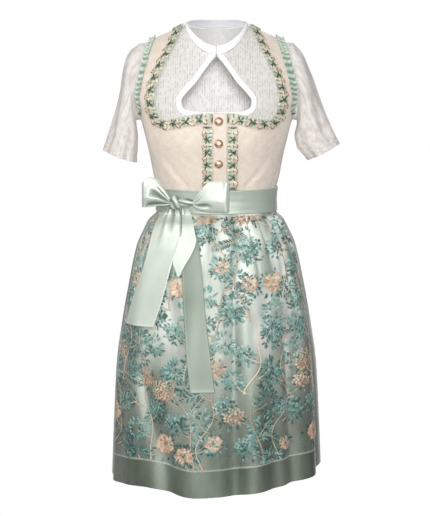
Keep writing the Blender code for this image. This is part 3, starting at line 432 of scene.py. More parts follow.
# --- skirt ----------------------------------------------------------------------------------------
HEMS = [
    Hem(-180.0, -0.9920, -0.9320),
    Hem(-120.0, -0.9880, -0.9320),
    Hem(-75.0, -0.9900, -0.9310),
    Hem(-42.0, -0.9830, -0.9240),
    Hem(-8.0, -0.9990, -0.9410),
    Hem(25.0, -0.9860, -0.9280),
    Hem(55.0, -0.9740, -0.9170),
    Hem(85.0, -0.9670, -0.9120),
    Hem(130.0, -0.9850, -0.9300),
    Hem(180.0, -0.9920, -0.9320),
]
FOLDS = [
    Fold(-70.0, -74.0, 7.0, 0.0060, -0.42),
    Fold(-52.0, -50.0, 9.0, 0.0070, -0.46),
    Fold(-42.0, -25.0, 7.0, -0.0130, -0.66),
    Fold(-13.0, -10.0, 8.0, 0.0060, -0.42),
    Fold(6.0, 8.0, 5.0, -0.0080, -0.39),
    Fold(17.0, 19.0, 8.0, 0.0080, -0.45),
    Fold(31.0, 31.0, 6.0, -0.0060, -0.50),
    Fold(44.0, 45.0, 6.0, -0.0110, -0.58),
    Fold(60.0, 62.0, 9.0, 0.0080, -0.42),
    Fold(78.0, 80.0, 7.0, -0.0070, -0.44),
    Fold(100.0, 98.0, 8.0, 0.0080, -0.42),
    Fold(116.0, 114.0, 7.0, -0.0110, -0.42),
    Fold(132.0, 133.0, 8.0, 0.0090, -0.42),
    Fold(150.0, 147.0, 7.0, -0.0120, -0.44),
    Fold(165.0, 166.0, 8.0, 0.0100, -0.42),
    Fold(-178.0, -176.0, 7.0, -0.0120, -0.42),
    Fold(-161.0, -160.0, 8.0, 0.0090, -0.42),
    Fold(-144.0, -146.0, 7.0, -0.0110, -0.45),
    Fold(-128.0, -127.0, 8.0, 0.0090, -0.42),
    Fold(-112.0, -110.0, 7.0, -0.0100, -0.42),
    Fold(-94.0, -95.0, 7.0, 0.0060, -0.42),
]
APRON_EDGE = 75.0

# Fine gathers below the sash: their waves, depth, over what height they start, and how far down they reach.
GATHER_WAVES = [
    Wave(1.0, 47.0, 2.2, 5.0, 0.0),
    Wave(0.6, 29.0, 3.0, 3.0, 1.0),
]
GATHER_DEPTH = 0.0017
GATHER_START = 0.012
GATHER_LENGTH = 0.080
GATHER_LENGTH_SWAY = 0.050
GATHER_LENGTH_CRESTS = 7.0
# The height over the sash's lower edge where the skirt's unevenness starts, and over what height it grows.
UNEVEN_RISE = 0.004
UNEVEN_START = 0.020
# Fine ripples up the sash: depth, rate in radians a metre, and sway.
SASH_RIPPLE = 0.00010
SASH_RIPPLE_RATE = 420.0
SASH_RIPPLE_SWAY = 1.5
# Creases lose depth along their run, most of all from CREASE_END on, and spread out.
CREASE_FADE = 0.55
CREASE_END_FADE = 0.35
CREASE_END = 0.55
CREASE_END_LENGTH = 0.45
CREASE_SPREAD = 0.6
# How far a degree reaches round the body at each place with creases, and the bodice's least fall for them.
SKIRT_METRES_PER_DEGREE = 0.0035
BODICE_METRES_PER_DEGREE = 0.0026
SASH_METRES_PER_DEGREE = 0.0022
BODICE_CREASES_FALL = 0.9

# Creases that the solids leave out. Depth is out from the cloth, below zero into it.
SKIRT_CREASES = [
    Crease(-62.0, -0.40, -60.0, -0.56, 0.0050, -0.0051),
    Crease(-20.0, -0.40, -21.0, -0.50, 0.0040, -0.0051),
    Crease(-3.0, -0.40, -3.0, -0.53, 0.0035, -0.0059),
    Crease(13.0, -0.40, 12.0, -0.60, 0.0045, -0.0068),
    Crease(24.0, -0.40, 27.0, -0.55, 0.0040, -0.0051),
    Crease(36.0, -0.40, 38.0, -0.52, 0.0045, -0.0059),
    Crease(52.0, -0.40, 55.0, -0.62, 0.0050, -0.0068),
    Crease(68.0, -0.40, 71.0, -0.58, 0.0045, -0.0059),
    Crease(90.0, -0.40, 89.0, -0.66, 0.0050, -0.0068),
    Crease(-82.0, -0.40, -84.0, -0.66, 0.0050, -0.0068),
    Crease(-104.0, -0.40, -103.0, -0.60, 0.0045, -0.0059),
    Crease(-120.0, -0.40, -119.0, -0.70, 0.0045, -0.0068),
    Crease(-137.0, -0.40, -136.0, -0.58, 0.0040, -0.0059),
    Crease(-153.0, -0.40, -155.0, -0.66, 0.0050, -0.0068),
    Crease(-169.0, -0.40, -168.0, -0.60, 0.0040, -0.0059),
    Crease(173.0, -0.40, 174.0, -0.56, 0.0045, -0.0059),
    Crease(157.0, -0.40, 158.0, -0.64, 0.0045, -0.0068),
    Crease(141.0, -0.40, 139.0, -0.60, 0.0045, -0.0059),
    Crease(124.0, -0.40, 123.0, -0.68, 0.0045, -0.0068),
    Crease(108.0, -0.40, 106.0, -0.58, 0.0045, -0.0059),
    Crease(-46.0, -0.74, -33.0, -0.90, 0.0110, -0.0100),
    Crease(-33.0, -0.72, -20.0, -0.86, 0.0200, 0.0040),
    Crease(42.0, -0.66, 44.0, -0.93, 0.0060, -0.0068),
    Crease(9.0, -0.47, 8.0, -0.86, 0.0060, -0.0059),
]
BODICE_CREASES = [
    Crease(-47.0, -0.335, -58.0, -0.245, 0.0070, -0.0022),
    Crease(-37.0, -0.325, -44.0, -0.265, 0.0080, 0.0014),
    Crease(26.0, -0.330, 52.0, -0.262, 0.0075, -0.0024),
    Crease(36.0, -0.318, 60.0, -0.268, 0.0080, 0.0016),
    Crease(64.0, -0.330, 74.0, -0.260, 0.0080, -0.0016),
    Crease(-66.0, -0.330, -75.0, -0.255, 0.0080, -0.0016),
    Crease(118.0, -0.335, 128.0, -0.255, 0.0080, -0.0018),
    Crease(-118.0, -0.335, -126.0, -0.262, 0.0080, -0.0018),
    Crease(150.0, -0.330, 156.0, -0.275, 0.0080, -0.0014),
    Crease(-152.0, -0.330, -157.0, -0.280, 0.0080, -0.0014),
]
SASH_CREASES = [
    Crease(8.0, -0.3860, 46.0, -0.3790, 0.0022, -0.0004),
    Crease(20.0, -0.3560, 80.0, -0.3600, 0.0050, 0.0002),
    Crease(60.0, -0.3700, 120.0, -0.3650, 0.0030, -0.0004),
    Crease(110.0, -0.3500, 170.0, -0.3560, 0.0030, -0.0008),
    Crease(-170.0, -0.3720, -110.0, -0.3660, 0.0028, 0.0008),
    Crease(-140.0, -0.3540, -80.0, -0.3500, 0.0026, -0.0008),
    Crease(-75.0, -0.3460, -18.0, -0.3440, 0.0020, -0.0012),
]

# --- the bow, tied over the wearer's right front --------------------------------------------------
KNOT_CENTRE = (-0.0890, -0.1005, -0.3650)
KNOT_RADII = (0.0135, 0.0100, 0.0160)
WRAP_CENTRE = (-0.0642, -0.1140, -0.3635)
WRAP_RADII = (0.0225, 0.0092, 0.0090)
# How far the strands of knot and wrap lean, in radians, their closeness and start, and how deep they cut.
KNOT_LEAN = 0.9
WRAP_LEAN = 0.5
KNOT_STRANDS = 5.0
KNOT_STRAND_SHIFT = 0.6
KNOT_GROOVE = 0.13
LOOP_OUTER_ROOT = (-0.1015, -0.1010, -0.3630)
LOOP_OUTER_DIRECTION = (-0.985, 0.170, 0.0)
LOOP_OUTER = [
    Loop(0.000, 0.0030, 0.0070, -0.0070),
    Loop(0.012, 0.0065, 0.0240, -0.0090),
    Loop(0.028, 0.0110, 0.0450, -0.0110),
    Loop(0.045, 0.0120, 0.0520, -0.0125),
    Loop(0.056, 0.0090, 0.0460, -0.0130),
    Loop(0.061, 0.0014, 0.0380, -0.0130),
]
LOOP_INNER_ROOT = (-0.0500, -0.1170, -0.3650)
LOOP_INNER_DIRECTION = (0.985, -0.170, 0.0)
LOOP_INNER = [
    Loop(0.000, 0.0030, 0.0060, -0.0060),
    Loop(0.010, 0.0060, 0.0200, -0.0130),
    Loop(0.022, 0.0095, 0.0360, -0.0165),
    Loop(0.034, 0.0110, 0.0460, -0.0180),
    Loop(0.056, 0.0120, 0.0470, -0.0180),
    Loop(0.072, 0.0085, 0.0465, -0.0180),
    Loop(0.078, 0.0014, 0.0460, -0.0180),
]
TAIL_OUTER = [
    Tail(-0.3800, -0.1120, -0.0830, 0.0170),
    Tail(-0.4000, -0.1260, -0.0760, 0.0190),
    Tail(-0.4270, -0.1380, -0.0760, 0.0175),
    Tail(-0.4600, -0.1470, -0.0850, 0.0140),
    Tail(-0.5000, -0.1570, -0.0970, 0.0130),
    Tail(-0.5500, -0.1730, -0.1110, 0.0130),
    Tail(-0.5950, -0.1870, -0.1240, 0.0125),
    Tail(-0.6330, -0.1960, -0.1370, 0.0125),
]
TAIL_INNER_TURNED = [
    Tail(-0.3780, -0.0760, -0.0620, 0.0120),
    Tail(-0.4300, -0.0740, -0.0430, 0.0115),
    Tail(-0.4700, -0.0745, -0.0360, 0.0090),
    Tail(-0.5100, -0.0735, -0.0310, 0.0085),
    Tail(-0.5600, -0.0715, -0.0270, 0.0085),
    Tail(-0.6200, -0.0680, -0.0220, 0.0085),
    Tail(-0.7000, -0.0625, -0.0120, 0.0085),
    Tail(-0.7690, -0.0545, -0.0040, 0.0085),
]
TAIL_INNER = [
    Tail(-0.3780, -0.0770, -0.0600, 0.0120),
    Tail(-0.4000, -0.0760, -0.0515, 0.0125),
    Tail(-0.4250, -0.0770, -0.0460, 0.0115),
    Tail(-0.4550, -0.0830, -0.0395, 0.0100),
    Tail(-0.5000, -0.0915, -0.0345, 0.0090),
    Tail(-0.5300, -0.0900, -0.0320, 0.0085),
    Tail(-0.6200, -0.0800, -0.0220, 0.0085),
    Tail(-0.7690, -0.0545, -0.0040, 0.0085),
]
# Folds of a tail: share across at its top and at its end, width in shares, depth, and where it fades out.
TAIL_OUTER_FOLDS = [
    (0.34, 0.42, 0.060, -0.0070, 0.16),
    (0.66, 0.56, 0.070, -0.0090, 0.20),
    (0.48, 0.50, 0.110, 0.0030, 0.40),
    (1.00, 1.00, 0.050, -0.0020, 0.40),
]
TAIL_INNER_FOLDS = [
    (0.30, 0.22, 0.070, -0.0040, 0.08),
    (0.00, 0.00, 0.050, -0.0010, 0.14),
]
# The inner tail is turned over at a pointed edge: shares across and down it of the edge's corners. Then how
# far the upper layer stands over the lower and the share down it where it does so fully, how much it rises
# towards the turned edge, over what share and from where, and how far the lower layer tilts.
TAIL_TURN_EDGE = [(0.0, 0.290), (0.22, 0.372), (1.0, 0.166)]
TAIL_STACK = 0.0032
TAIL_STACK_SHARE = 0.12
TAIL_TURN_STEP = 0.0045
TAIL_TURN_SLOPE = 0.30
TAIL_TURN_START = 0.10
TAIL_TILT = 0.0030
TAIL_START = [(0.0, 0.0), (1.0, 0.0)]
TAIL_TURNED_START = [(0.0, 0.150), (1.0, 0.150)]
TAIL_END = [(0.0, 1.0), (1.0, 1.0)]
# Painted light and shade on the reverse: shares down the tail, and how pale it is painted there.
TAIL_REVERSE_LIGHT = [(0.15, 0.34), (0.40, 0.28), (0.50, 0.18), (0.58, 0.32), (0.68, 0.42), (0.80, 0.42),
                      (0.92, 0.34), (0.97, 0.40), (1.0, 0.70)]
# The share of a tail where the knot's shadow is painted, and how much painted shade it gives; how far a
# tail's cloth stands out, how it waves down and across, how a fold runs out, and the tail's width and hem.
TAIL_SHADOW = 0.06
KNOT_SHADE = 0.45
TAIL_OUT = 0.0006
TAIL_WAVE = 0.0005
TAIL_WAVE_DOWN = 9.0
TAIL_WAVE_ACROSS = 4.0
TAIL_FOLD_EXIT = 0.25
TAIL_FOLD_LATE = 0.15
TAIL_WIDTH = 0.050
TAIL_HEM = 0.0035
TAIL_HEM_DEPTH = 0.0003
TAIL_HEM_EDGE = 0.001
# How far a loop's front layer leans in at its edges, how sharply, and how that grows and ends along the
# loop; how much painted shade its lower part takes, and the share up it where it swells most.
LOOP_LEAN = 0.0095
LOOP_LEAN_POWER = 1.6
LOOP_LEAN_GROWTH = 2.0
LOOP_LEAN_END = 5.0
LOOP_UNDERSHADE = 0.24
LOOP_CREST = 0.38
# How a pleat of a loop comes in and runs out along it, and how it flattens where the loop is narrow.
LOOP_FOLD_EARLY = 0.15
LOOP_FOLD_ENTRY = 0.25
LOOP_FOLD_EXIT = 0.35
LOOP_FOLD_LATE = 0.1
LOOP_FULL_WIDTH = 0.045
LOOP_LEAST_FOLD = 0.15
# How much painted shade darkens the satin in the folds of the bow.
FOLD_DARKNESS = 0.95
# Pleats of a loop: share up it at the knot and at its far end, width in shares, depth, and where it starts
# and ends.
LOOP_OUTER_PLEATS = [
    (0.46, 0.56, 0.105, -0.0070, 0.00, 0.80),
    (0.18, 0.06, 0.085, -0.0055, 0.00, 1.00),
    (0.74, 0.90, 0.060, -0.0040, 0.00, 0.50),
    (0.34, 0.30, 0.090, 0.0040, 0.10, 1.00),
]
LOOP_INNER_PLEATS = [
    (0.30, 0.10, 0.080, -0.0060, 0.00, 0.60),
    (0.56, 0.62, 0.075, -0.0070, 0.00, 0.26),
    (0.82, 0.98, 0.060, -0.0040, 0.00, 0.26),
]

# --- colours of the cloth -------------------------------------------------------------------------
# A plain colour is what a cloth has under its pattern. The pattern runs between a dark and a light one.
PLAIN_GREY = (0.5, 0.5, 0.5)
LACE_PLAIN = (0.8, 0.8, 0.8)
LACE_SHADE = (0.63, 0.61, 0.57)
LACE_LIGHT = (0.95, 0.94, 0.91)
# The back's lace is the front's lace painted darker: painted shade over the whole back.
BACK_LACE_SHADE = (0.58, 0.57, 0.55)
BACK_LACE_LIGHT = (0.86, 0.86, 0.85)
BACK_LACE_NECK_SHADE = (0.54, 0.535, 0.515)
SLEEVE_LACE_SHADE = (0.66, 0.59, 0.55)
SLEEVE_LACE_LIGHT = (0.95, 0.93, 0.90)
COTTON = (0.88, 0.88, 0.92)
COTTON_FRONT = (0.85, 0.85, 0.87)
# Painted shade: the greyer colour the cotton takes towards the back of the neck.
COTTON_BACK_SHADE = (0.58, 0.58, 0.61)
CREAM = (0.83, 0.75, 0.65)
CREAM_DARK = (0.565, 0.48, 0.40)
CREAM_LIGHT = (0.73, 0.65, 0.565)
# Skirt satin: its own dark colour, and a light one that stands for painted sheen in tall patches and up the
# skirt.
SKIRT_DARK = (0.080, 0.100, 0.075)
SKIRT_LIGHT = (0.400, 0.450, 0.385)
SASH_DARK = (0.38, 0.44, 0.375)
SASH_LIGHT = (0.43, 0.49, 0.425)
# The bow's satin is the sash's painted lighter: painted sheen on its loops and tails.
BOW_DARK = (0.55, 0.615, 0.54)
BOW_LIGHT = (0.64, 0.70, 0.625)
# Painted shade: the colour the bow's satin takes in its deepest folds.
BOW_FOLD_SHADE = (0.12, 0.15, 0.11)
REVERSE_DARK = (0.31, 0.36, 0.30)
REVERSE_LIGHT = (0.37, 0.42, 0.36)
# Painted shade: the colour the reverse takes where it is painted darkest.
REVERSE_FOLD_SHADE = (0.12, 0.155, 0.115)
ORGANZA = (0.6, 0.7, 0.66)
ORGANZA_DARK = (0.60, 0.67, 0.60)
ORGANZA_LIGHT = (0.88, 0.90, 0.84)
ORGANZA_GLOW = (0.72, 0.76, 0.70)
BRASS_PLAIN = (0.72, 0.46, 0.30)
BRASS_DARK = (0.58, 0.36, 0.22)
BRASS_LIGHT = (0.85, 0.58, 0.40)
FLOOR_COLOUR = (0.80, 0.80, 0.79)

# --- studio ---------------------------------------------------------------------------------------
ROOM_LIGHT = 0.20
FLOOR_Z = -1.45
FLOOR_RADIUS = 1.25
CAMERA_PLACE = (-0.0033, -4.5, 0.08)
CAMERA_TILT = 7.34
CAMERA_SENSOR_MM = 36.0
CAMERA_LENS_MM = 170.5
# Lights: name, place, what it points at, side, power and colour.
LIGHTS = [
    ("key", (-2.1, -2.3, 2.0), (0.0, 0.0, -0.30), 1.1, 38.0, (1.0, 0.985, 0.96)),
    ("side", (-3.4, -0.9, 0.7), (0.0, 0.0, -0.40), 1.2, 18.0, (1.0, 0.99, 0.97)),
    ("fill", (2.7, -2.7, 0.8), (0.0, 0.0, -0.45), 1.4, 11.0, (0.97, 0.99, 1.0)),
    ("front", (0.1, -5.2, 0.50), (0.0, 0.0, -0.25), 0.9, 255.0, (1.0, 1.0, 1.0)),
    ("top", (0.0, -1.8, 1.6), (0.0, 0.0, -0.35), 1.2, 5.0, (1.0, 1.0, 1.0)),
    ("back", (0.6, 3.2, 1.4), (0.0, 0.0, -0.30), 1.8, 85.0, (1.0, 1.0, 1.0)),
]

# --- embroidery -----------------------------------------------------------------------------------
SEED = 11
TEAL_DARK = (0.018, 0.090, 0.075)
TEAL = (0.080, 0.240, 0.207)
TEAL_LIGHT = (0.175, 0.380, 0.328)
TEAL_PALE = (0.315, 0.500, 0.440)
PEACH_DARK = (0.500, 0.290, 0.170)
PEACH = (0.640, 0.430, 0.280)
PEACH_LIGHT = (0.730, 0.560, 0.400)
LEAFY = (TEAL_DARK, TEAL_DARK, TEAL, TEAL, TEAL_LIGHT)
LEAFY_PALE = (TEAL, TEAL_LIGHT, TEAL_LIGHT, TEAL_PALE)
BLOOM_COLOURS = (PEACH, PEACH_LIGHT, PEACH_DARK, PEACH, PEACH_LIGHT)
STEM_COLOURS = (PEACH, PEACH_LIGHT, PEACH)
# Thread carries painted light by height: the height below which its painted shade is darkest, how far above
# that it reaches its palest, the tone of its painted sheen there and how much of it covers the thread, how
# dull it is, its painted light low down, and how much any thread varies.
THREAD_DARK_Z = -0.92
THREAD_RISE = 0.40
THREAD_PAINTED_SHEEN = (0.72, 0.75, 0.70)
THREAD_PAINTED_SHEEN_SHARE = 0.05
THREAD_DULL = 0.10
THREAD_LOW_LIGHT = 0.76
THREAD_SHADES = (0.78, 1.2)
# How far thread stays from the apron's side edges in degrees, from the sash and from the hem.
THREAD_EDGE_ANGLE = 1.6
THREAD_TOP_GAP = 0.002
THREAD_HEM_GAP = 0.003
# Leaves: how far over the apron, how that differs from leaf to leaf, the height of their ridge, and the
# painted shade at their rim and the painted highlight their ridge adds.
THREAD_LIFT = 0.0002
THREAD_LEVELS = 0.0006
THREAD_RIDGE = 0.0005
THREAD_RIM_LIGHT = 0.80
THREAD_RIDGE_LIGHT = 0.25
# Stems: shares across, lift and crown, the painted shade at their rim and the painted highlight their crown
# adds, and where across them that painted light falls.
STEM_ACROSS = (-1.0, -0.5, 0.0, 0.5, 1.0)
STEM_LIFT = 0.0003
STEM_CROWN = 0.0009
STEM_RIM_LIGHT = 0.72
STEM_CROWN_LIGHT = 0.34
STEM_LIT_ACROSS = 0.2
LEAF_SIZE = 0.0088
# Tufts: the square of the share out where they start, the spread of bearings, sizes, and a leaf's width.
TUFT_MIDDLE = 0.02
TUFT_TURN_SPREAD = 0.45
TUFT_SIZE_RANGE = (0.75, 1.25)
TUFT_LEAF_WIDTH = 0.45
# Ferns: step between leaves, widths of the stem, a leaf's length as a share of the fern's, its turn and
# width, how the leaves taper, the two fronds' turns and lengths, their bend, and their root in shares of
# the width.
FROND_STEP = 0.0050
FROND_LEAST_STEPS = 8
FROND_STEM = (0.0024, 0.0010)
FROND_LEAF_LENGTH = 0.24
FROND_LEAF_TURN = 0.85
FROND_LEAF_WIDTH = 0.30
FROND_TAPER_START = 0.18
FROND_TAPER_RUN = 0.80
FROND_TAPER_POWER = 0.8
FERN_FRONDS = ((-0.2, 0.058), (1.0, 0.052))
FERN_BEND = (-0.5, -0.2)
FERN_ROOT = (0.6, 0.4)
# Flower heads: a floret's size, how many fill a head, a petal's length and width in floret sizes, how far
# florets are turned, and the head's flatness and radius.
FLORET_SIZE = 0.0060
FLORETS_PER_SIZE = 2.2
FLORET_PETAL = (0.62, 0.56)
FLORET_TURN = 1.6
HEAD_FLATNESS = 0.80
HEAD_RADIUS = 0.95
GOLDEN_ANGLE = math.pi * (3.0 - math.sqrt(5.0))
# Peonies: leaves in the ring round them and its drop, reach and height, rows of petals, how each row closes
# in, petals in the outer row, a petal's length and width, how petals vary, and the bloom's flatness and
# radius.
PEONY_LEAVES = 36
PEONY_RING = (0.2, 1.30, 1.15)
PEONY_ROWS = 5
PEONY_ROW_STEP = 0.19
PEONY_PETALS = 15
PEONY_PETAL = (0.55, 0.48)
PEONY_TURN_SPREAD = 0.07
PEONY_REACH_RANGE = (0.90, 1.06)
PEONY_FLATNESS = 0.92
PEONY_RADIUS = 0.85
# Motifs, in their order along the vines, and how wide they grow.
MOTIFS = ("leaves", "peony", "cloud", "head", "fern", "peach head", "leaves", "cloud", "leaves", "head",
          "cloud")
MOTIF_WIDTH = (0.021, 0.031)
# Tufts of a motif in shares of its width: aside and up, reach and height, leaves for a metre of width, the
# leaves' size in shares of the usual one, and colours.
TUFTS = {
    "leaves": [(0.0, 0.0, 1.0, 0.66, 2600.0, 1.0, LEAFY), (0.5, -0.9, 0.7, 0.45, 1300.0, 1.0, LEAFY)],
    "cloud": [(0.0, 0.0, 0.9, 0.75, 2400.0, 1.1, LEAFY_PALE), (0.0, -0.6, 0.9, 0.30, 900.0, 1.0, LEAFY)],
    "head": [(0.0, -0.5, 1.0, 0.6, 1300.0, 1.0, LEAFY)],
    "peach head": [(0.0, -0.3, 1.2, 0.8, 1300.0, 1.0, LEAFY)],
}
# Colours of a flower head: painted light on its lit side, painted shade on its shaded side.
HEADS = {
    "head": ((TEAL_LIGHT, TEAL_PALE), (TEAL, TEAL_LIGHT, TEAL_DARK)),
    "peach head": ((PEACH_LIGHT, PEACH), (PEACH, PEACH_DARK)),
}
# Vines: columns and their spacing, how far they sway, winding, widths, and how they close in above a
# height.
EMBROIDERY_LOW_Z = -0.945
EMBROIDERY_HIGH_Z = -0.42
VINE_COLUMNS = range(-4, 5)
VINE_SPACING = 0.080
VINE_SWAY = 0.022
VINE_STEP = 0.007
VINE_REPEAT = (0.20, 0.34)
VINE_SWING = (0.010, 0.024)
VINE_WOBBLE = 0.35
VINE_WOBBLE_RATE = 2.3
VINE_WIDTH = (0.0032, 0.0046)
VINE_END_WIDTH = 0.0014
VINE_FULL_Z = -0.9
VINE_CLOSING = 0.75
# Sprays: length, the gap or overlap between two, where motifs start and end, how far they stand from the
# vine and over it, the step between them, and the twigs they grow on.
SPRAY_LENGTH = (0.13, 0.23)
SPRAY_GAP = 0.012
FIRST_MOTIF = (0.015, 0.03)
LAST_MOTIF_RISE = 0.010
END_MOTIF_ZONE = 0.012
END_MOTIF_REACH = 0.004
MOTIF_REACH = (0.020, 0.036)
MOTIF_RISE = (0.004, 0.018)
MOTIF_STEP = 0.037
MOTIF_STEP_RANGE = (0.75, 1.2)
TWIG_DROP = 0.016
TWIG_ELBOW = 0.55
TWIG_GAP = 0.004
TWIG_WIDTHS = (0.0026, 0.0014)

# --- curves through tables ------------------------------------------------------------------------
def curve_through(keys, values):
    """A smooth curve through values at rising keys that never overshoots, for arrays."""
    keys = np.asarray(keys, float)
    values = np.asarray(values, float)
    slope = np.diff(values) / np.diff(keys)
    before, after = slope[:-1], slope[1:]
    same_way = before * after > 0.0
    total = np.where(same_way, before + after, 1.0)
    middle = np.where(same_way, 2.0 * before * after / total, 0.0)
    tangent = np.concatenate([slope[:1], middle, slope[-1:]])

    def at(x):
        x = np.clip(x, keys[0], keys[-1])
        i = np.clip(np.searchsorted(keys, x, side="right") - 1, 0, len(keys) - 2)
        span = keys[i + 1] - keys[i]
        t = (x - keys[i]) / span
        ease = t * t * (3.0 - 2.0 * t)
        enter = t * (1.0 - t) ** 2 * span * tangent[i]
        leave = t * t * (1.0 - t) * span * tangent[i + 1]
        return values[i] * (1.0 - ease) + values[i + 1] * ease + enter - leave

    return at


def column_curve(table, key, column):
    rows = sorted(table, key=lambda row: getattr(row, key))
    return curve_through([getattr(row, key) for row in rows], [getattr(row, column) for row in rows])


half_width_at = column_curve(SECTIONS, "z", "half_width")
front_depth_at = column_curve(SECTIONS, "z", "front")
back_depth_at = column_curve(SECTIONS, "z", "back")
armhole_angle_at = column_curve(ARMHOLES, "fall", "angle")
skirt_hem_at = column_curve(HEMS, "angle", "skirt_z")
apron_hem_at = column_curve(HEMS, "angle", "apron_z")


def smooth_step(t):
    t = np.clip(t, 0.0, 1.0)
    return t * t * (3.0 - 2.0 * t)


def bell(distance, width):
    return np.exp(-(distance / width) ** 2)


# --- the form -------------------------------------------------------------------------------------
def shoulder_z(top_x):
    slope = SHOULDER_SLOPE * np.hypot(top_x, NECK_SOFTNESS)
    return SHOULDER_HEIGHT - slope + NECK_RISE * np.exp(-(top_x / NECK_RADIUS) ** 2)


def sideways(angle):
    sine = np.sin(np.radians(angle))
    return np.sign(sine) * np.abs(sine) ** (2.0 / RING_POWER)


def forward(angle):
    return np.abs(np.cos(np.radians(angle))) ** (2.0 / RING_POWER)


def wrapped(angle):
    return (angle + 180.0) % 360.0 - 180.0


def fold_reach(angle, z):
    """How far the skirt's folds push the cloth out (or in, below zero)."""
    reach = np.zeros(np.broadcast(angle, z).shape)
    for fold in FOLDS:
        grown = smooth_step((fold.starts - z) / (fold.starts - HEMS[0].skirt_z))
        middle = fold.angle_top + (fold.angle_hem - fold.angle_top) * grown
        reach += fold.depth * np.sqrt(grown) * bell(wrapped(angle - middle), fold.width)
    return np.where(z < WAIST_Z, reach, 0.0)


def crease_depth(creases, angle, z, metres_per_degree):
    """Sum of the creases at a place; each is a soft ridge or trough along a straight line."""
    depth = np.zeros(np.broadcast(angle, z).shape)
    for crease in creases:
        across = wrapped(crease.angle_to - crease.angle_from) * metres_per_degree
        down = crease.z_to - crease.z_from
        x = wrapped(angle - crease.angle_from) * metres_per_degree
        y = z - crease.z_from
        along = np.clip((x * across + y * down) / (across ** 2 + down ** 2), 0.0, 1.0)
        away = np.hypot(x - along * across, y - along * down)
        fade = 1.0 - CREASE_FADE * along
        fade -= CREASE_END_FADE * smooth_step((along - CREASE_END) / CREASE_END_LENGTH)
        depth += crease.depth * fade * bell(away, crease.width * (1.0 + CREASE_SPREAD * along))
    return depth


def fall_at(z):
    return 1.0 + (UNDERARM_Z - z) / FALL_PER_UNIT


def height_at(fall):
    return UNDERARM_Z - (fall - 1.0) * FALL_PER_UNIT


def form_points(angle, fall, out):
    """Points of the form at places, moved out from it, as an array of (x, y, z)."""
    angle, fall, out = np.broadcast_arrays(*(np.asarray(a, float) for a in (angle, fall, out)))
    front = np.abs(wrapped(angle)) <= 90.0
    side = np.where(front, -1.0, 1.0)

    low_z = height_at(np.maximum(fall, 1.0))
    reach = out + fold_reach(angle, low_z)
    low_x = (half_width_at(low_z) + reach) * sideways(angle)
    low_depth = np.where(front, front_depth_at(low_z), back_depth_at(low_z)) + reach

    turn = np.radians(90.0 * np.clip(fall, 0.0, 1.0))
    over = np.sin(turn) ** (2.0 / SHOULDER_POWER)
    up = np.maximum(np.cos(turn), 0.0) ** (2.0 / SHOULDER_POWER)
    top = shoulder_z(TOP_HALF_WIDTH * np.abs(sideways(angle)))
    high_z = UNDERARM_Z + (top - UNDERARM_Z) * up
    high_x = (half_width_at(high_z) + out * over) * sideways(angle)
    underarm_depth = np.where(front, front_depth_at(UNDERARM_Z), back_depth_at(UNDERARM_Z))
    high_depth = (underarm_depth + out) * over

    below = fall >= 1.0
    x = np.where(below, low_x, high_x)
    z = np.where(below, low_z, high_z)
    y = side * np.where(below, low_depth, high_depth) * forward(angle)
    bust = BUST_DEPTH * bell(np.abs(x) - BUST_X, BUST_WIDTH) * bell(z - BUST_Z, BUST_HEIGHT)
    y = y - np.where(front, bust * smooth_step(fall), 0.0)
    return np.stack([x, y, z + np.where(below, 0.0, out * up)], axis=-1)


def angle_at(x, z, out):
    share = np.minimum(1.0, np.abs(x) / (half_width_at(z) + out))
    return np.sign(x) * np.degrees(np.arcsin(share ** (RING_POWER / 2.0)))


def place_at(x, z, out):
    """The front place whose point is at x and z."""
    angle = angle_at(x, z, out)
    top = shoulder_z(TOP_HALF_WIDTH * np.abs(sideways(angle)))
    up = np.clip((z - UNDERARM_Z) / (top - UNDERARM_Z), 0.0, 1.0)
    high = np.degrees(np.arccos(up ** (SHOULDER_POWER / 2.0))) / 90.0
    return np.stack([angle, np.where(z <= UNDERARM_Z, fall_at(z), high)], axis=-1)


def outline_places(outline, out):
    return place_at(np.array([p.x for p in outline]), np.array([p.z for p in outline]), out)


def to_back(places):
    """The places behind front places, at the same heights."""
    places = np.array(places, float)
    places[..., 0] = 180.0 - places[..., 0]
    return places


def edge_angle(outline, fall, out):
    places = outline_places(outline, out)
    order = np.argsort(places[:, 1])
    return curve_through(places[order, 1], places[order, 0])(fall)


# --- grids of places and the meshes on them -------------------------------------------------------
def refined(places, steps):
    """A finer, smooth run of places through the given ones, with this many steps in each stretch."""
    places = np.asarray(places, float)
    keys = np.arange(len(places))
    t = np.linspace(0.0, len(places) - 1.0, (len(places) - 1) * steps + 1)
    return np.stack([curve_through(keys, places[:, c])(t) for c in range(places.shape[1])], axis=-1)


def spread(inner, outer, columns):
    """A grid of places, each row running evenly from its inner to its outer place."""
    t = np.linspace(0.0, 1.0, columns + 1)[None, :, None]
    return np.asarray(inner)[:, None, :] * (1.0 - t) + np.asarray(outer)[:, None, :] * t


def lengths_along(points, axis):
    """Length run along a grid of points in one direction, starting from zero."""
    steps = np.linalg.norm(np.diff(points, axis=axis), axis=-1)
    start = np.zeros_like(np.take(steps, [0], axis=axis))
    return np.cumsum(np.concatenate([start, steps], axis=axis), axis=axis)


def cloth_uv(points):
    """Texture places in metres: lengths across and along the cloth."""
    across = lengths_along(points, 1)
    across = across - across[:, [points.shape[1] // 2]]
    along = lengths_along(points, 0)
    return np.stack([across, along[:, [points.shape[1] // 2]] + 0.0 * across], axis=-1)


def grid_faces(rows, columns):
    """Corner numbers of a grid's four-cornered faces."""
    r, c = np.meshgrid(np.arange(rows - 1), np.arange(columns - 1), indexing="ij")
    low, high = r * columns + c, (r + 1) * columns + c
    return np.stack([corner.ravel() for corner in (low, low + 1, high + 1, high)], axis=-1)


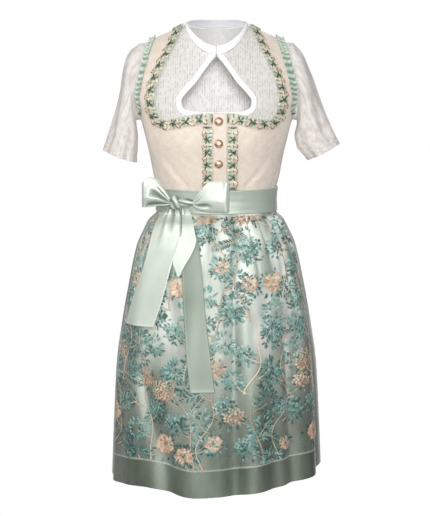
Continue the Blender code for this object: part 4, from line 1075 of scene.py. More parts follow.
def make_mesh(name, points, faces, corner_uv=None, tint=None):
    """A smooth mesh, with texture places at each face's corners and a colour at each point if given."""
    mesh = bpy.data.meshes.new(name)
    points = np.asarray(points, float).reshape(-1, 3)
    mesh.from_pydata(points.tolist(), [], [tuple(map(int, face)) for face in faces])
    mesh.shade_smooth()
    if corner_uv is not None:
        layer = mesh.uv_layers.new(name="cloth")
        layer.data.foreach_set("uv", np.asarray(corner_uv, float).ravel().astype(np.float32))
    if tint is not None:
        layer = mesh.color_attributes.new("tint", "FLOAT_COLOR", "POINT")
        colour = np.concatenate([tint, np.ones((len(tint), 1))], axis=1)
        layer.data.foreach_set("color", colour.ravel().astype(np.float32))
    return mesh


def link(thing):
    """Puts an object in the scene."""
    bpy.context.scene.collection.objects.link(thing)
    return thing


def add_piece(name, mesh, material, replaces=(), thickness=0.0):
    """Puts a mesh in the scene as a piece of the dress, and keeps it under its name."""
    piece = link(bpy.data.objects.new(name + "_fine", mesh))
    mesh.materials.append(material)
    if thickness:
        wall = piece.modifiers.new("thickness", "SOLIDIFY")
        wall.thickness = thickness
        wall.offset = 0.0
    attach(piece, "root")
    if replaces:
        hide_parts(*replaces)
    return piece


def joined_grids(grids):
    """Points, faces and texture places of grids of points, welded where they meet, and which points stay."""
    points, faces, uvs, start = [], [], [], 0
    for grid in grids:
        rows, columns = grid.shape[:2]
        points.append(grid.reshape(-1, 3))
        faces.append(grid_faces(rows, columns) + start)
        uvs.append(cloth_uv(grid).reshape(-1, 2))
        start += rows * columns
    points, faces, uvs = np.concatenate(points), np.concatenate(faces), np.concatenate(uvs)
    corner_uv = uvs[faces]
    rounded = np.round(points, WELD_DIGITS)
    _, first, number = np.unique(rounded, axis=0, return_index=True, return_inverse=True)
    faces = number.ravel()[faces]
    real = np.all(np.diff(np.sort(faces, axis=1), axis=1) > 0, axis=1)
    return points[first], faces[real], corner_uv[real], first


def cloth_piece(name, grids, material, thickness=0.0, replaces=None, light=None):
    """A piece of cloth from grids of points. light, for one grid, is a painted light: below 1 it paints shade
    where its folds are darkest.
    """
    points, faces, corner_uv, first = joined_grids(grids)
    tint = None if light is None else np.repeat(light.ravel()[first, None], 3, axis=1)
    mesh = make_mesh(name, points, faces, corner_uv, tint)
    return add_piece(name, mesh, material, [name] if replaces is None else replaces, thickness)


def other_side(grid):
    """The grid mirrored to the wearer's other side, still facing out."""
    return (grid * np.array([-1.0, 1.0, 1.0]))[:, ::-1]


def middle(layer):
    return (layer.inner + layer.outer) / 2.0


# --- materials ------------------------------------------------------------------------------------
# Most of a noise lies between these levels.
NOISE_LEVELS = (0.36, 0.64)


class Finish:
    """A material under construction, with short calls to add nodes to it."""

    def __init__(self, name, colour, roughness, **settings):
        self.material = bpy.data.materials.new(name)
        self.material.use_nodes = True
        self.tree = self.material.node_tree
        self.surface = self.tree.nodes["Principled BSDF"]
        self.surface.inputs["Base Color"].default_value = (*colour, 1.0)
        self.surface.inputs["Roughness"].default_value = roughness
        for socket, value in settings.items():
            self.surface.inputs[socket.replace("_", " ")].default_value = value

    def node(self, kind, output, inputs, **settings):
        """Adds a node, sets or joins its inputs, and gives back one of its outputs."""
        made = self.tree.nodes.new(kind)
        for setting, value in settings.items():
            setattr(made, setting, value)
        for socket, value in inputs.items():
            self.feed(made.inputs[socket], value)
        return made.outputs[output]

    def feed(self, socket, value):
        """Joins an output to an input, or sets the input's value."""
        if isinstance(value, bpy.types.NodeSocket):
            self.tree.links.new(value, socket)
        else:
            socket.default_value = value

    def cloth_place(self, across=1.0, along=1.0):
        """Texture places in metres times a scale each way."""
        uv = self.node("ShaderNodeTexCoord", "UV", {})
        return self.node("ShaderNodeMapping", "Vector", {"Vector": uv, "Scale": (across, along, 1.0)})

    def object_place(self, across=1.0, up=1.0):
        """Texture places in the dress's own metres times a scale sideways and upwards."""
        place = self.node("ShaderNodeTexCoord", "Object", {})
        return self.node("ShaderNodeMapping", "Vector", {"Vector": place, "Scale": (across, across, up)})

    def coordinate(self, place, axis):
        return self.node("ShaderNodeSeparateXYZ", axis, {0: place})

    def noise(self, place, scale, detail=2.0, distortion=0.0):
        inputs = {"Vector": place, "Scale": scale, "Detail": detail, "Distortion": distortion}
        return self.node("ShaderNodeTexNoise", "Fac", inputs)

    def bands(self, place, scale, distortion, direction):
        inputs = {"Vector": place, "Scale": scale, "Distortion": distortion}
        return self.node("ShaderNodeTexWave", "Fac", inputs, bands_direction=direction)

    def cells(self, place, scale):
        return self.node("ShaderNodeTexVoronoi", "Distance", {"Vector": place, "Scale": scale})

    def maths(self, kind, first, second=0.0):
        return self.node("ShaderNodeMath", "Value", {0: first, 1: second}, operation=kind)

    def between(self, value, low, high, low_out=0.0, high_out=1.0):
        """A value taken from one range to another, held at its ends."""
        return self.node("ShaderNodeMapRange", "Result", {"Value": value, "From Min": low, "From Max": high,
                                                         "To Min": low_out, "To Max": high_out})

    def mixed(self, share, first, second):
        """A colour between two colours."""
        mix = self.tree.nodes.new("ShaderNodeMix")
        mix.data_type = "RGBA"
        self.feed(mix.inputs[0], share)
        for socket, colour in ((6, first), (7, second)):
            self.feed(mix.inputs[socket], (*colour, 1.0) if isinstance(colour, tuple) else colour)
        return mix.outputs[2]

    def tint(self, output):
        """The colour, or the painted light and shade, that a piece carries at its points."""
        return self.node("ShaderNodeAttribute", output, {}, attribute_name="tint")

    def let_light_through(self, colour, share, cover):
        """Lets light through the cloth, and shows what is behind it where the cover is thin."""
        glow = self.node("ShaderNodeBsdfTranslucent", "BSDF", {"Color": (*colour, 1.0)})
        clear = self.node("ShaderNodeBsdfTransparent", "BSDF", {})
        lit = self.surface.outputs["BSDF"]
        cloth = self.node("ShaderNodeMixShader", "Shader", {0: share, 1: lit, 2: glow})
        cloth = self.node("ShaderNodeMixShader", "Shader", {0: cover, 1: clear, 2: cloth})
        self.tree.links.new(cloth, self.tree.nodes["Material Output"].inputs["Surface"])

    def join(self, output, socket):
        self.tree.links.new(output, self.surface.inputs[socket])

    def bump(self, height, distance, strength=1.0):
        inputs = {"Height": height, "Distance": distance, "Strength": strength}
        self.join(self.node("ShaderNodeBump", "Normal", inputs), "Normal")


# About how many bands a metre the wave texture draws at a scale of 1, and how much threads waver.
BANDS_PER_SCALE = 3.1416
THREAD_WAVER = 0.4


def weave(finish, threads_per_metre):
    """Height of a plain weave."""
    place = finish.cloth_place()
    warp, weft = (finish.bands(place, threads_per_metre / BANDS_PER_SCALE, THREAD_WAVER, direction)
                  for direction in "XY")
    return finish.maths("MAXIMUM", warp, weft)


# Lace flowers, in shares of their spacing: from how near to how far their outline runs, and their soft
# edge.
FLOWER_PETALS = 5.0
FLOWER_OUTLINE = (0.18, 0.36)
FLOWER_EDGE = (-0.02, 0.05)


def lace_flowers(finish, spacing):
    """Height of small five-petalled flowers strewn over cloth, one about every spacing metres."""
    place = finish.cloth_place()
    inputs = {"Vector": place, "Scale": 1.0 / spacing, "Randomness": 0.55}
    cell = finish.node("ShaderNodeTexVoronoi", "Position", inputs, voronoi_dimensions="2D")
    away = finish.node("ShaderNodeVectorMath", "Vector", {0: place, 1: cell}, operation="SUBTRACT")
    flat = finish.node("ShaderNodeVectorMath", "Vector", {0: away, 1: (1.0, 1.0, 0.0)}, operation="MULTIPLY")
    far = finish.node("ShaderNodeVectorMath", "Value", {0: flat}, operation="LENGTH")
    turn = finish.maths("ARCTAN2", finish.coordinate(away, "Y"), finish.coordinate(away, "X"))
    petals = finish.maths("COSINE", finish.maths("MULTIPLY", turn, FLOWER_PETALS))
    reach = finish.between(petals, -1.0, 1.0, *(share * spacing for share in FLOWER_OUTLINE))
    return finish.between(finish.maths("SUBTRACT", reach, far), *(share * spacing for share in FLOWER_EDGE))


# Lace: whether its ribs stand straight up, how its streaks and patches are stretched and spaced, how dense
# its ribs and patches are at least, between which levels its patches run, and how crinkled it is.
LaceLook = namedtuple("LaceLook", "upright streak_stretch fine_stretch fine_scale patch_scale flower_spacing "
                                  "rib_least patch_low patch_high patch_least crinkle")
CHEST_LOOK = LaceLook(True, 0.24, 0.45, 900.0, 55.0, 0.015, 0.12, 0.34, 0.58, 0.82, 1.0)
SLEEVE_LOOK = LaceLook(False, 0.75, 0.9, 600.0, 85.0, 0.011, 0.45, 0.40, 0.54, 0.20, 9.0)
LACE_STREAK_SCALE = 250.0
LACE_NET_SCALE = 900.0
LACE_RIB_SCALE = 60.0
LACE_NECK_SHADE_HEIGHTS = (-0.10, -0.02)


def make_lace(name, look, shade, light, open_least=1.0, glow=0.0, neck=None):
    """Fine ribbed lace: broken ribs and small flowers over a net.

    open_least is the cloth's share where it is thinnest, and glow the share of light that passes through it;
    without glow the lace is closed. neck, if given, is the colour of painted shade that darkens it near the
    neck.
    """
    finish = Finish(name, LACE_PLAIN, roughness=0.9, Sheen_Weight=0.1)
    place = finish.object_place if look.upright else finish.cloth_place
    streak = finish.noise(place(1.0, look.streak_stretch), LACE_STREAK_SCALE, detail=1.0)
    fine_streak = finish.noise(place(1.0, look.fine_stretch), look.fine_scale, detail=1.0)
    patch = finish.noise(finish.cloth_place(), look.patch_scale, detail=3.0)
    flower = lace_flowers(finish, look.flower_spacing)
    net = finish.between(finish.cells(finish.cloth_place(), LACE_NET_SCALE), 0.10, 0.45)
    rib = finish.bands(place(), LACE_RIB_SCALE, 0.35, "X")
    whole = finish.maths("MAXIMUM", finish.between(rib, 0.20, 0.70), finish.between(streak, 0.44, 0.58))
    ribs = finish.maths("MULTIPLY", finish.between(whole, 0.0, 1.0, look.rib_least, 1.0),
                        finish.between(fine_streak, 0.38, 0.54, 0.55, 1.0))
    dense = finish.maths("MAXIMUM", finish.between(flower, 0.0, 1.0, 0.0, 0.9), ribs)
    blotch = finish.between(patch, look.patch_low, look.patch_high, look.patch_least, 1.0)
    colour = finish.mixed(finish.maths("MULTIPLY", dense, blotch), shade, light)
    # Painted shade: the lace darkens towards the neck.
    if neck:
        height = finish.coordinate(finish.object_place(), "Z")
        colour = finish.mixed(finish.between(height, *LACE_NECK_SHADE_HEIGHTS, 0.0, 0.7), colour, neck)
    finish.join(colour, "Base Color")
    relief = finish.maths("ADD", finish.maths("MULTIPLY", flower, 2.0), finish.maths("ADD", whole, net))
    crinkle = finish.maths("MULTIPLY", patch, look.crinkle)
    finish.bump(finish.maths("ADD", relief, crinkle), distance=0.0005, strength=0.6)
    if glow:
        netted = finish.maths("ADD", dense, finish.maths("MULTIPLY", net, 0.4))
        finish.let_light_through(light, glow, finish.between(netted, 0.1, 0.9, open_least, 0.99))
    return finish.material


def make_white_cotton():
    """Plain white cotton, with painted shade that greys it towards the back of the neck."""
    finish = Finish("white_cotton", COTTON, roughness=0.8, Sheen_Weight=0.1)
    # Painted shade: the cotton greys towards the back of the neck.
    back_shade = finish.between(finish.coordinate(finish.object_place(), "Y"), -0.020, 0.030)
    finish.join(finish.mixed(back_shade, COTTON_FRONT, COTTON_BACK_SHADE), "Base Color")
    finish.bump(weave(finish, threads_per_metre=2200.0), distance=0.0001)
    return finish.material


def make_cream_cloth():
    """Woven cream cloth with a soft mottle and fine lengthwise threads."""
    finish = Finish("cream_cloth", CREAM, roughness=0.62, Sheen_Weight=0.35, Sheen_Roughness=0.4)
    mottle = finish.noise(finish.cloth_place(1.0, 0.8), 70.0, detail=5.0)
    fine = finish.noise(finish.cloth_place(1.0, 0.18), 900.0)
    tone = finish.maths("ADD", finish.between(mottle, *NOISE_LEVELS, 0.20, 0.52),
                        finish.between(fine, 0.34, 0.66, 0.0, 0.44))
    finish.join(finish.mixed(tone, CREAM_DARK, CREAM_LIGHT), "Base Color")
    height = finish.maths("ADD", weave(finish, threads_per_metre=1500.0), fine)
    finish.bump(height, distance=0.00015)
    return finish.material


def make_satin(name, dark, light, roughness, metal, wrinkle, painted_rise_light=0.0, deep=None):
    """Satin: part of its sheen is tinted like the cloth, as on smooth threads.

    The tone drifts in tall soft patches, which on the skirt also stand for painted sheen, and one setting
    says how much painted light lightens it on the way up. deep is the colour of painted shade in its darkest
    folds, on pieces that carry a painted light.
    """
    finish = Finish(name, light, roughness, Sheen_Weight=0.25, Sheen_Roughness=0.35, Metallic=metal,
                    Specular_IOR_Level=0.6)
    # Painted light: the satin lightens on the way up the cloth.
    rise = finish.between(finish.coordinate(finish.cloth_place(), "Y"), 0.15, 0.43, 0.0, painted_rise_light)
    # Tall soft patches of tone; on the skirt they also stand for painted sheen.
    patch = finish.noise(finish.cloth_place(1.0, 0.30), 9.0, detail=3.0)
    mottle = finish.between(patch, *NOISE_LEVELS, 0.0, 1.0 - painted_rise_light)
    colour = finish.mixed(finish.maths("ADD", rise, mottle), dark, light)
    # Painted shade: the piece's painted light mixes the colour towards deep.
    if deep:
        colour = finish.mixed(finish.tint("Fac"), deep, colour)
    finish.join(colour, "Base Color")
    slub = finish.noise(finish.cloth_place(1.0, 0.03), 1500.0, detail=1.0)
    crumple = finish.noise(finish.cloth_place(1.0, 0.45), 60.0, detail=3.0, distortion=0.8)
    height = finish.maths("ADD", finish.maths("MULTIPLY", slub, 0.00006),
                          finish.maths("MULTIPLY", crumple, wrinkle))
    finish.bump(height, distance=1.0, strength=0.7)
    return finish.material


def make_organza():
    """Sheer cloth: a fine weave that veils the satin, closest at its hem and growing closer up towards the
    waist.
    """
    finish = Finish("organza", ORGANZA, roughness=0.6, Sheen_Weight=0.1, Sheen_Roughness=0.5)
    up = finish.coordinate(finish.cloth_place(), "Y")
    mottle = finish.noise(finish.cloth_place(1.0, 0.28), 20.0)
    closer_up = finish.between(up, 0.14, 0.45, 0.07, 0.86)
    cover = finish.maths("MULTIPLY", closer_up, finish.between(mottle, *NOISE_LEVELS, 0.35, 1.5))
    cover = finish.maths("ADD", cover, finish.between(up, 0.0030, 0.0050, 0.25, 0.0))
    finish.join(finish.mixed(finish.between(mottle, 0.35, 0.65), ORGANZA_DARK, ORGANZA_LIGHT), "Base Color")
    finish.bump(weave(finish, threads_per_metre=1800.0), distance=0.0001, strength=0.5)
    finish.let_light_through(ORGANZA_GLOW, 0.2, cover)
    return finish.material


def make_tinted(name, roughness, rib_scale, rib_depth):
    """Threads or ribbon whose colour and painted light are carried by the piece, with a fine ribbed surface.
    """
    finish = Finish(name, PLAIN_GREY, roughness, Sheen_Weight=0.2)
    tint = finish.tint("Color")
    fine = finish.noise(finish.object_place(), rib_scale)
    dark = finish.node("ShaderNodeHueSaturation", "Color", {"Color": tint, "Value": 0.72, "Saturation": 1.1})
    finish.join(finish.mixed(finish.between(fine, 0.40, 0.60), dark, tint), "Base Color")
    finish.bump(fine, rib_depth)
    return finish.material


def make_brass():
    """Rose brass, duller and darker where it is worn."""
    finish = Finish("rose_brass", BRASS_PLAIN, roughness=0.40, Metallic=1.0)
    worn = finish.noise(finish.object_place(), 260.0, detail=3.0)
    finish.join(finish.mixed(finish.between(worn, 0.35, 0.65), BRASS_DARK, BRASS_LIGHT), "Base Color")
    finish.join(finish.between(worn, 0.3, 0.7, 0.32, 0.50), "Roughness")
    finish.bump(worn, distance=0.00008)
    return finish.material


LACE = make_lace("lace", CHEST_LOOK, LACE_SHADE, LACE_LIGHT, open_least=0.84, glow=0.40)
# Painted shade: the back lace is darker than the front's, and darker still towards the neck.
BACK_LACE = make_lace("back_lace", CHEST_LOOK, BACK_LACE_SHADE, BACK_LACE_LIGHT, neck=BACK_LACE_NECK_SHADE)
SLEEVE_LACE = make_lace("sleeve_lace", SLEEVE_LOOK, SLEEVE_LACE_SHADE, SLEEVE_LACE_LIGHT, open_least=0.80,
                        glow=0.40)
WHITE_COTTON = make_white_cotton()
CREAM_CLOTH = make_cream_cloth()
# The skirt's satin carries painted light: painted sheen in tall patches, lighter still up towards the waist.
SKIRT_SATIN = make_satin("skirt_satin", SKIRT_DARK, SKIRT_LIGHT, roughness=0.54, metal=0.66, wrinkle=0.0012,
                         painted_rise_light=0.65)
SASH_SATIN = make_satin("sash_satin", SASH_DARK, SASH_LIGHT, roughness=0.50, metal=0.35, wrinkle=0.0005)
BOW_SATIN = make_satin("bow_satin", BOW_DARK, BOW_LIGHT, roughness=0.46, metal=0.42, wrinkle=0.0007,
                       deep=BOW_FOLD_SHADE)
SASH_REVERSE = make_satin("sash_reverse", REVERSE_DARK, REVERSE_LIGHT, roughness=0.54, metal=0.22,
                          wrinkle=0.0004, deep=REVERSE_FOLD_SHADE)
ORGANZA_CLOTH = make_organza()
THREAD = make_tinted("embroidery_thread", roughness=0.50, rib_scale=1600.0, rib_depth=0.0002)
TRIM = make_tinted("ribbon_trim", roughness=0.55, rib_scale=900.0, rib_depth=0.00025)
BRASS = make_brass()


# --- blouse ---------------------------------------------------------------------------------------
def neck_seam_z(x, middle_z):
    share = np.minimum(1.0, x / NECK_HALF_WIDTH)
    return NECK_SIDE_Z + (middle_z - NECK_SIDE_Z) * (1.0 - share * share) ** NECK_ROUNDNESS


def neck_places(turns, back=False):
    """Places on the collar seam, turn 0 at the centre and 90 at the side of the neck."""
    turns = np.asarray(turns, float)
    x = NECK_HALF_WIDTH * np.sin(np.radians(turns))
    places = place_at(x, neck_seam_z(x, NECK_BACK_Z if back else NECK_FRONT_Z), BLOUSE.outer)
    places[turns >= 90.0, 1] = SHOULDER_SEAM_FALL
    return to_back(places) if back else places


def lace_puckers(angle, fall):
    """Soft unevenness of the lace over the chest, gone at the side seam."""
    round_body = np.sin(np.radians(angle * PUCKERS_ROUND) + PUCKER_SWAY * np.sin(fall * PUCKER_SWAY_WAVES))
    down_body = np.sin(fall * PUCKERS_DOWN + np.radians(angle * PUCKER_SLANT))
    from_side = smooth_step((PUCKER_END - np.abs(wrapped(angle))) / PUCKER_FADE)
    return PUCKER_HEIGHT * (round_body * down_body) * from_side


def blouse_grid(inner, outer):
    places = spread(refined(inner, BLOUSE_STEPS), refined(outer, BLOUSE_STEPS), BLOUSE_COLUMNS)
    angle, fall = places[..., 0], places[..., 1]
    return form_points(angle, fall, middle(BLOUSE) + lace_puckers(angle, fall))


def armhole_outer(low_side, levels):
    """The side seam below the underarm, and then the armhole's edge at levels."""
    levels = np.array(levels)
    return np.concatenate([low_side, np.stack([armhole_angle_at(levels), levels], axis=-1)])


def build_blouse():
    low = [(SEAM_ANGLE, fall_at(z)) for z in (BLOUSE_END_Z, BLOUSE_LOW_Z, UNDERARM_Z)]
    low_side = [(90.0 - SEAM_ANGLE, fall) for _, fall in low]
    keyhole = outline_places([Outline(max(p.x, SEAM), p.z) for p in KEYHOLE], BLOUSE.outer)
    inner = np.concatenate([low, keyhole, neck_places(NECK_TURNS)])
    front = blouse_grid(inner, armhole_outer(low_side, BLOUSE_FRONT_LEVELS))
    cloth_piece("blouse_front_left", [front], LACE)
    cloth_piece("blouse_front_right", [other_side(front)], LACE)

    neck_fall = neck_places([0.0], back=True)[0, 1]
    centre = [(0.0, fall) for _, fall in low] + [(0.0, fall) for fall in (*BLOUSE_CENTRE_FALLS, neck_fall)]
    inner = np.concatenate([centre, to_back(neck_places(NECK_TURNS, back=True))])
    back = blouse_grid(to_back(inner), to_back(armhole_outer(low_side, STRAP_LEVELS)))[:, ::-1]
    cloth_piece("blouse_back", [back, other_side(back)], BACK_LACE)
    build_collar()
    build_binding(keyhole)


def build_collar():
    half = np.linspace(COLLAR_FIRST_TURN, 180.0 - COLLAR_FIRST_TURN, COLLAR_COLUMNS)
    turns = np.concatenate([[-COLLAR_END], -half, [180.0], half[::-1], [COLLAR_END]])
    folded = np.where(np.abs(turns) > 90.0, 180.0 - np.abs(turns), np.abs(turns))
    behind = (np.abs(turns) > 90.0)[:, None]
    places = np.where(behind, neck_places(folded, back=True), neck_places(folded))
    base = form_points(np.sign(turns) * places[:, 0], places[:, 1], 0.0)
    bearing = np.radians(turns)
    away = np.stack([np.sin(bearing), -np.cos(bearing), 0.0 * bearing], axis=-1)
    rise = COLLAR_HEIGHT * (1.0 - COLLAR_NARROWING * np.sin(bearing) ** 4)
    rows = []
    for level in np.linspace(0.0, 1.0, COLLAR_ROWS):
        out = middle(COLLAR) + COLLAR_SWELL * math.sin(math.pi * level) - COLLAR_LEAN * level
        up = np.stack([0.0 * rise, 0.0 * rise, COLLAR_GAP + rise * level], axis=-1)
        rows.append(base + away * out + up)
    cloth_piece("blouse_collar", [np.stack(rows)], WHITE_COTTON, COLLAR_THICKNESS)


def build_binding(keyhole):
    """The bias binding, a rounded strip outside the keyhole's edge."""
    edge = refined(keyhole, BINDING_STEPS)
    line = form_points(edge[:, 0], edge[:, 1], BINDING.outer)
    run = np.gradient(line, axis=0)
    length = np.hypot(run[:, 0], run[:, 2])
    strip = []
    for share in np.linspace(0.0, 1.0, BINDING_COLUMNS):
        x = line[:, 0] + BINDING_WIDTH * share * run[:, 2] / length
        z = line[:, 2] - BINDING_WIDTH * share * run[:, 0] / length
        z = np.minimum(z, neck_seam_z(np.maximum(x, 0.0), NECK_FRONT_Z) - BINDING_NECK_GAP)
        places = place_at(np.maximum(x, BINDING_CENTRE_GAP), z, BINDING.outer)
        crown = BINDING_CROWN * math.sin(math.pi * share) - BINDING_SINK
        strip.append(form_points(places[:, 0], places[:, 1], BINDING.outer + crown))
    grid = np.stack(strip, axis=1)
    cloth_piece("keyhole_binding_left", [grid], WHITE_COTTON, BINDING_THICKNESS)
    cloth_piece("keyhole_binding_right", [other_side(grid)], WHITE_COTTON, BINDING_THICKNESS)


# --- sleeves --------------------------------------------------------------------------------------
def armhole_fall(down):
    """Fall at a share of the way down the armhole."""
    return curve_through(np.linspace(0.0, 1.0, len(ARMHOLE_STEPS)), ARMHOLE_STEPS)(down)


def armhole_places(turns):
    """Places just outside the armhole; turn is 0 at the top, 0.5 at the underarm and 1 up the back again."""
    fall = armhole_fall(np.minimum(turns, 1.0 - turns) * 2.0)
    angle = armhole_angle_at(fall) + SLEEVE_HEAD_OUT * (fall < 1.0)
    return np.where(turns > 0.5, 180.0 - angle, angle), fall


def sleeve_folds(turns, along, phase):
    """Soft lengthwise folds of the hanging sleeve, deepest at its lower end, and fainter ones across it."""
    turn = 2.0 * np.pi * turns
    wave = np.sin(SLEEVE_FOLDS * turn + phase + SLEEVE_SWAY * np.sin(SLEEVE_SWAY_WAVES * along))
    fine = np.sin(SLEEVE_FINE_FOLDS * turn + 2.0 * phase + 2.0 * along)
    wave = wave + SLEEVE_FINE_SHARE * fine
    cross = np.sin(SLEEVE_CROSS_FOLDS * along + 2.0 * np.sin(3.0 * turn + phase))
    return (SLEEVE_FOLD_DEPTH * wave * smooth_step(along * SLEEVE_FOLD_GROWTH)
            + SLEEVE_CROSS_DEPTH * cross * smooth_step(along * SLEEVE_CROSS_GROWTH))


def sleeve_rings(table, step):
    """Each measure of the sleeve's rings at steps along it, running straight on beyond the last ring."""
    rings = {}
    for measure in SleeveRing._fields:
        values = [getattr(ring, measure) for ring in table]
        beyond = np.maximum(step - len(table), 0.0) * (values[-1] - values[-2])
        curve = curve_through(np.arange(1, len(table) + 1), values)
        rings[measure] = (curve(np.maximum(step, 1.0)) + beyond)[:, None]
    return SleeveRing(**rings)


def sleeve_grid(table, turns, along, side, phase):
    """Points of a sleeve; along is 0 at the armhole and 1 at the last ring, more in the hem band."""
    step = along * len(table)
    ring = sleeve_rings(table, step)
    folds = sleeve_folds(turns[None, :], along[:, None], phase)
    turn = 2.0 * np.pi * turns[None, :]
    across_x = (ring.outer_x - ring.inner_x) / 2.0
    across_z = (ring.outer_z - ring.inner_z) / 2.0
    grow = 1.0 + (SLEEVE_OUT + folds) / np.hypot(across_x, across_z)
    x = (ring.outer_x + ring.inner_x) / 2.0 + across_x * grow * np.cos(turn)
    z = (ring.outer_z + ring.inner_z) / 2.0 + across_z * grow * np.cos(turn)
    y = -(ring.half_depth + SLEEVE_OUT + folds) * np.sin(turn)
    tube = np.stack([x, y, z], axis=-1)
    head = form_points(*armhole_places(turns), SLEEVE_OUT)[None]
    share = np.minimum(step, 1.0)[:, None, None]
    share = share * (1.0 - SLEEVE_HEAD_EASE) + smooth_step(share) * SLEEVE_HEAD_EASE
    return ((head * (1.0 - share) + tube * share) * np.array([side, 1.0, 1.0]))[::-1]


def build_sleeve(side_name, side, table, phase):
    turns = np.linspace(0.0, 1.0, SLEEVE_COLUMNS)[::-int(side)]
    length = math.hypot(table[-1].outer_x - table[-2].outer_x, table[-1].outer_z - table[-2].outer_z)
    hem_step = SLEEVE_HEM_WIDTH / length / len(table)
    hem = np.linspace(1.0 + SEAM / length / len(table), 1.0 + hem_step, SLEEVE_HEM_ROWS)
    sleeve = sleeve_grid(table, turns, np.linspace(0.0, 1.0, SLEEVE_ROWS), side, phase)
    cloth_piece("sleeve_" + side_name, [sleeve], SLEEVE_LACE)
    hem_band = sleeve_grid(table, turns, hem, side, phase)
    cloth_piece("sleeve_hem_" + side_name, [hem_band], SLEEVE_LACE, CLOTH_THICKNESS)


# --- bodice ---------------------------------------------------------------------------------------
def bodice_points(places):
    angle, fall = places[..., 0], places[..., 1]
    creases = crease_depth(BODICE_CREASES, angle, height_at(fall), BODICE_METRES_PER_DEGREE)
    return form_points(angle, fall, middle(BODICE) + creases * (fall > BODICE_CREASES_FALL))


def armhole_edge(levels):
    return np.stack([armhole_angle_at(levels) - BODICE_ARMHOLE_INSET, levels], axis=-1)


def strap_edge(outline, levels):
    return np.stack([edge_angle(outline, levels, BODICE.outer), levels], -1)


def bodice_low_rows(inner_angle, outer_angle, columns, outer_top_fall=0.0):
    """Rows of places from the waist up to the underarm, or at their outer ends up to a lower fall."""
    falls = fall_at(np.linspace(WAIST_Z + SEAM, UNDERARM_Z, BODICE_LOW_ROWS))
    ones = np.ones_like(falls)
    inner = np.stack([inner_angle * ones, falls], -1)
    outer = np.stack([outer_angle * ones, np.maximum(falls, outer_top_fall)], -1)
    return spread(inner, outer, columns)


def bodice_front_grids():
    """One front in two blocks: centre to neckline corner, and corner to side with its strap."""
    corner = place_at(NECKLINE_CORNER_X, NECKLINE_LOW[-1].z, BODICE.outer)
    inner_block = bodice_low_rows(SEAM_ANGLE, corner[0], BODICE_INNER_COLUMNS)
    outer_block = bodice_low_rows(corner[0], 90.0, BODICE_OUTER_COLUMNS, BODICE_UNDERARM_FALL)

    top = inner_block[-1].copy()
    x = form_points(top[:, 0], top[:, 1], BODICE.outer)[:, 0]
    neckline_z = curve_through([p.x for p in NECKLINE_LOW], [p.z for p in NECKLINE_LOW])(x)
    top[:, 1] = place_at(x, neckline_z, BODICE.outer)[:, 1]
    corner_row = spread([top[-1]], armhole_edge(top[-1:, 1]), BODICE_OUTER_COLUMNS)[0]
    steps = np.linspace(0.0, 1.0, BODICE_TOP_ROWS)[1:, None, None]
    inner_top = inner_block[-1] * (1.0 - steps) + top * steps
    outer_top = outer_block[-1] * (1.0 - steps) + corner_row * steps

    levels = np.linspace(top[-1, 1], SHOULDER_SEAM_FALL, BODICE_STRAP_ROWS)[1:]
    strap = spread(strap_edge(NECKLINE_STRAP, levels), armhole_edge(levels), BODICE_OUTER_COLUMNS)
    return [bodice_points(np.concatenate([inner_block, inner_top])),
            bodice_points(np.concatenate([outer_block, outer_top, strap]))]


def bodice_back_grid():
    low = bodice_low_rows(0.0, 90.0, BODICE_BACK_COLUMNS, BODICE_UNDERARM_FALL)
    strap = strap_edge(BACK_NECKLINE, np.array(BACK_BRAID_LEVELS))
    inner = np.concatenate([[(0.0, fall) for fall in BODICE_CENTRE_FALLS],
                            outline_places(BACK_NECKLINE[:BACK_NECKLINE_LOW], BODICE.outer), strap])
    outer = np.concatenate([[(90.0, BODICE_UNDERARM_FALL)], armhole_edge(np.array(BODICE_BACK_LEVELS))])
    high = spread(refined(inner, BODICE_BACK_STEPS), refined(outer, BODICE_BACK_STEPS), BODICE_BACK_COLUMNS)
    return bodice_points(to_back(np.concatenate([low, high[1:]])))[:, ::-1]


def build_bodice():
    fronts = bodice_front_grids()
    back = bodice_back_grid()
    panels = {"front_left": fronts, "front_right": [other_side(grid) for grid in fronts],
              "back": [back, other_side(back)]}
    for name, grids in panels.items():
        cloth_piece("bodice_" + name, grids, CREAM_CLOTH, BODICE_THICKNESS)


def build_placket():
    heights = np.linspace(SASH_TOP_Z + SEAM, PLACKET_TOP_Z, PLACKET_ROWS)
    across = np.linspace(PLACKET_X - PLACKET_HALF_WIDTH, PLACKET_X + PLACKET_HALF_WIDTH, PLACKET_COLUMNS)
    x, z = np.meshgrid(across, heights)
    places = place_at(x, z, PLACKET.outer)
    pucker = PLACKET_PUCKER * np.sin((z - BUTTON_Z[0]) * 2.0 * np.pi / BUTTON_PITCH)
    points = form_points(places[..., 0], places[..., 1], middle(PLACKET) + pucker)
    cloth_piece("button_placket", [points], CREAM_CLOTH, PLACKET_THICKNESS)


def surface_frame(x, z, out):
    """A point of the front and the unit directions across, up and out from it."""
    near = FRAME_STEP
    around = place_at(np.array([x, x - near, x + near, x, x]), np.array([z, z, z, z - near, z + near]), out)
    here, left, right, low, high = form_points(around[:, 0], around[:, 1], out)
    across = (right - left) / np.linalg.norm(right - left)
    up = (high - low) / np.linalg.norm(high - low)
    outward = np.cross(across, up)
    return here, across, up, outward / np.linalg.norm(outward)


def button_faces(count, rings):
    """Faces of a button: a fan under its first ring of points, bands between its rings, and a fan on top."""
    faces = []
    last = 1 + (rings - 1) * count
    for k in range(count):
        after = (k + 1) % count
        faces.append((0, 1 + after, 1 + k))
        for low in range(1, last, count):
            high = low + count
            faces.append((low + k, low + after, high + after, high + k))
        faces.append((last + k, last + after, last + count))
    return faces


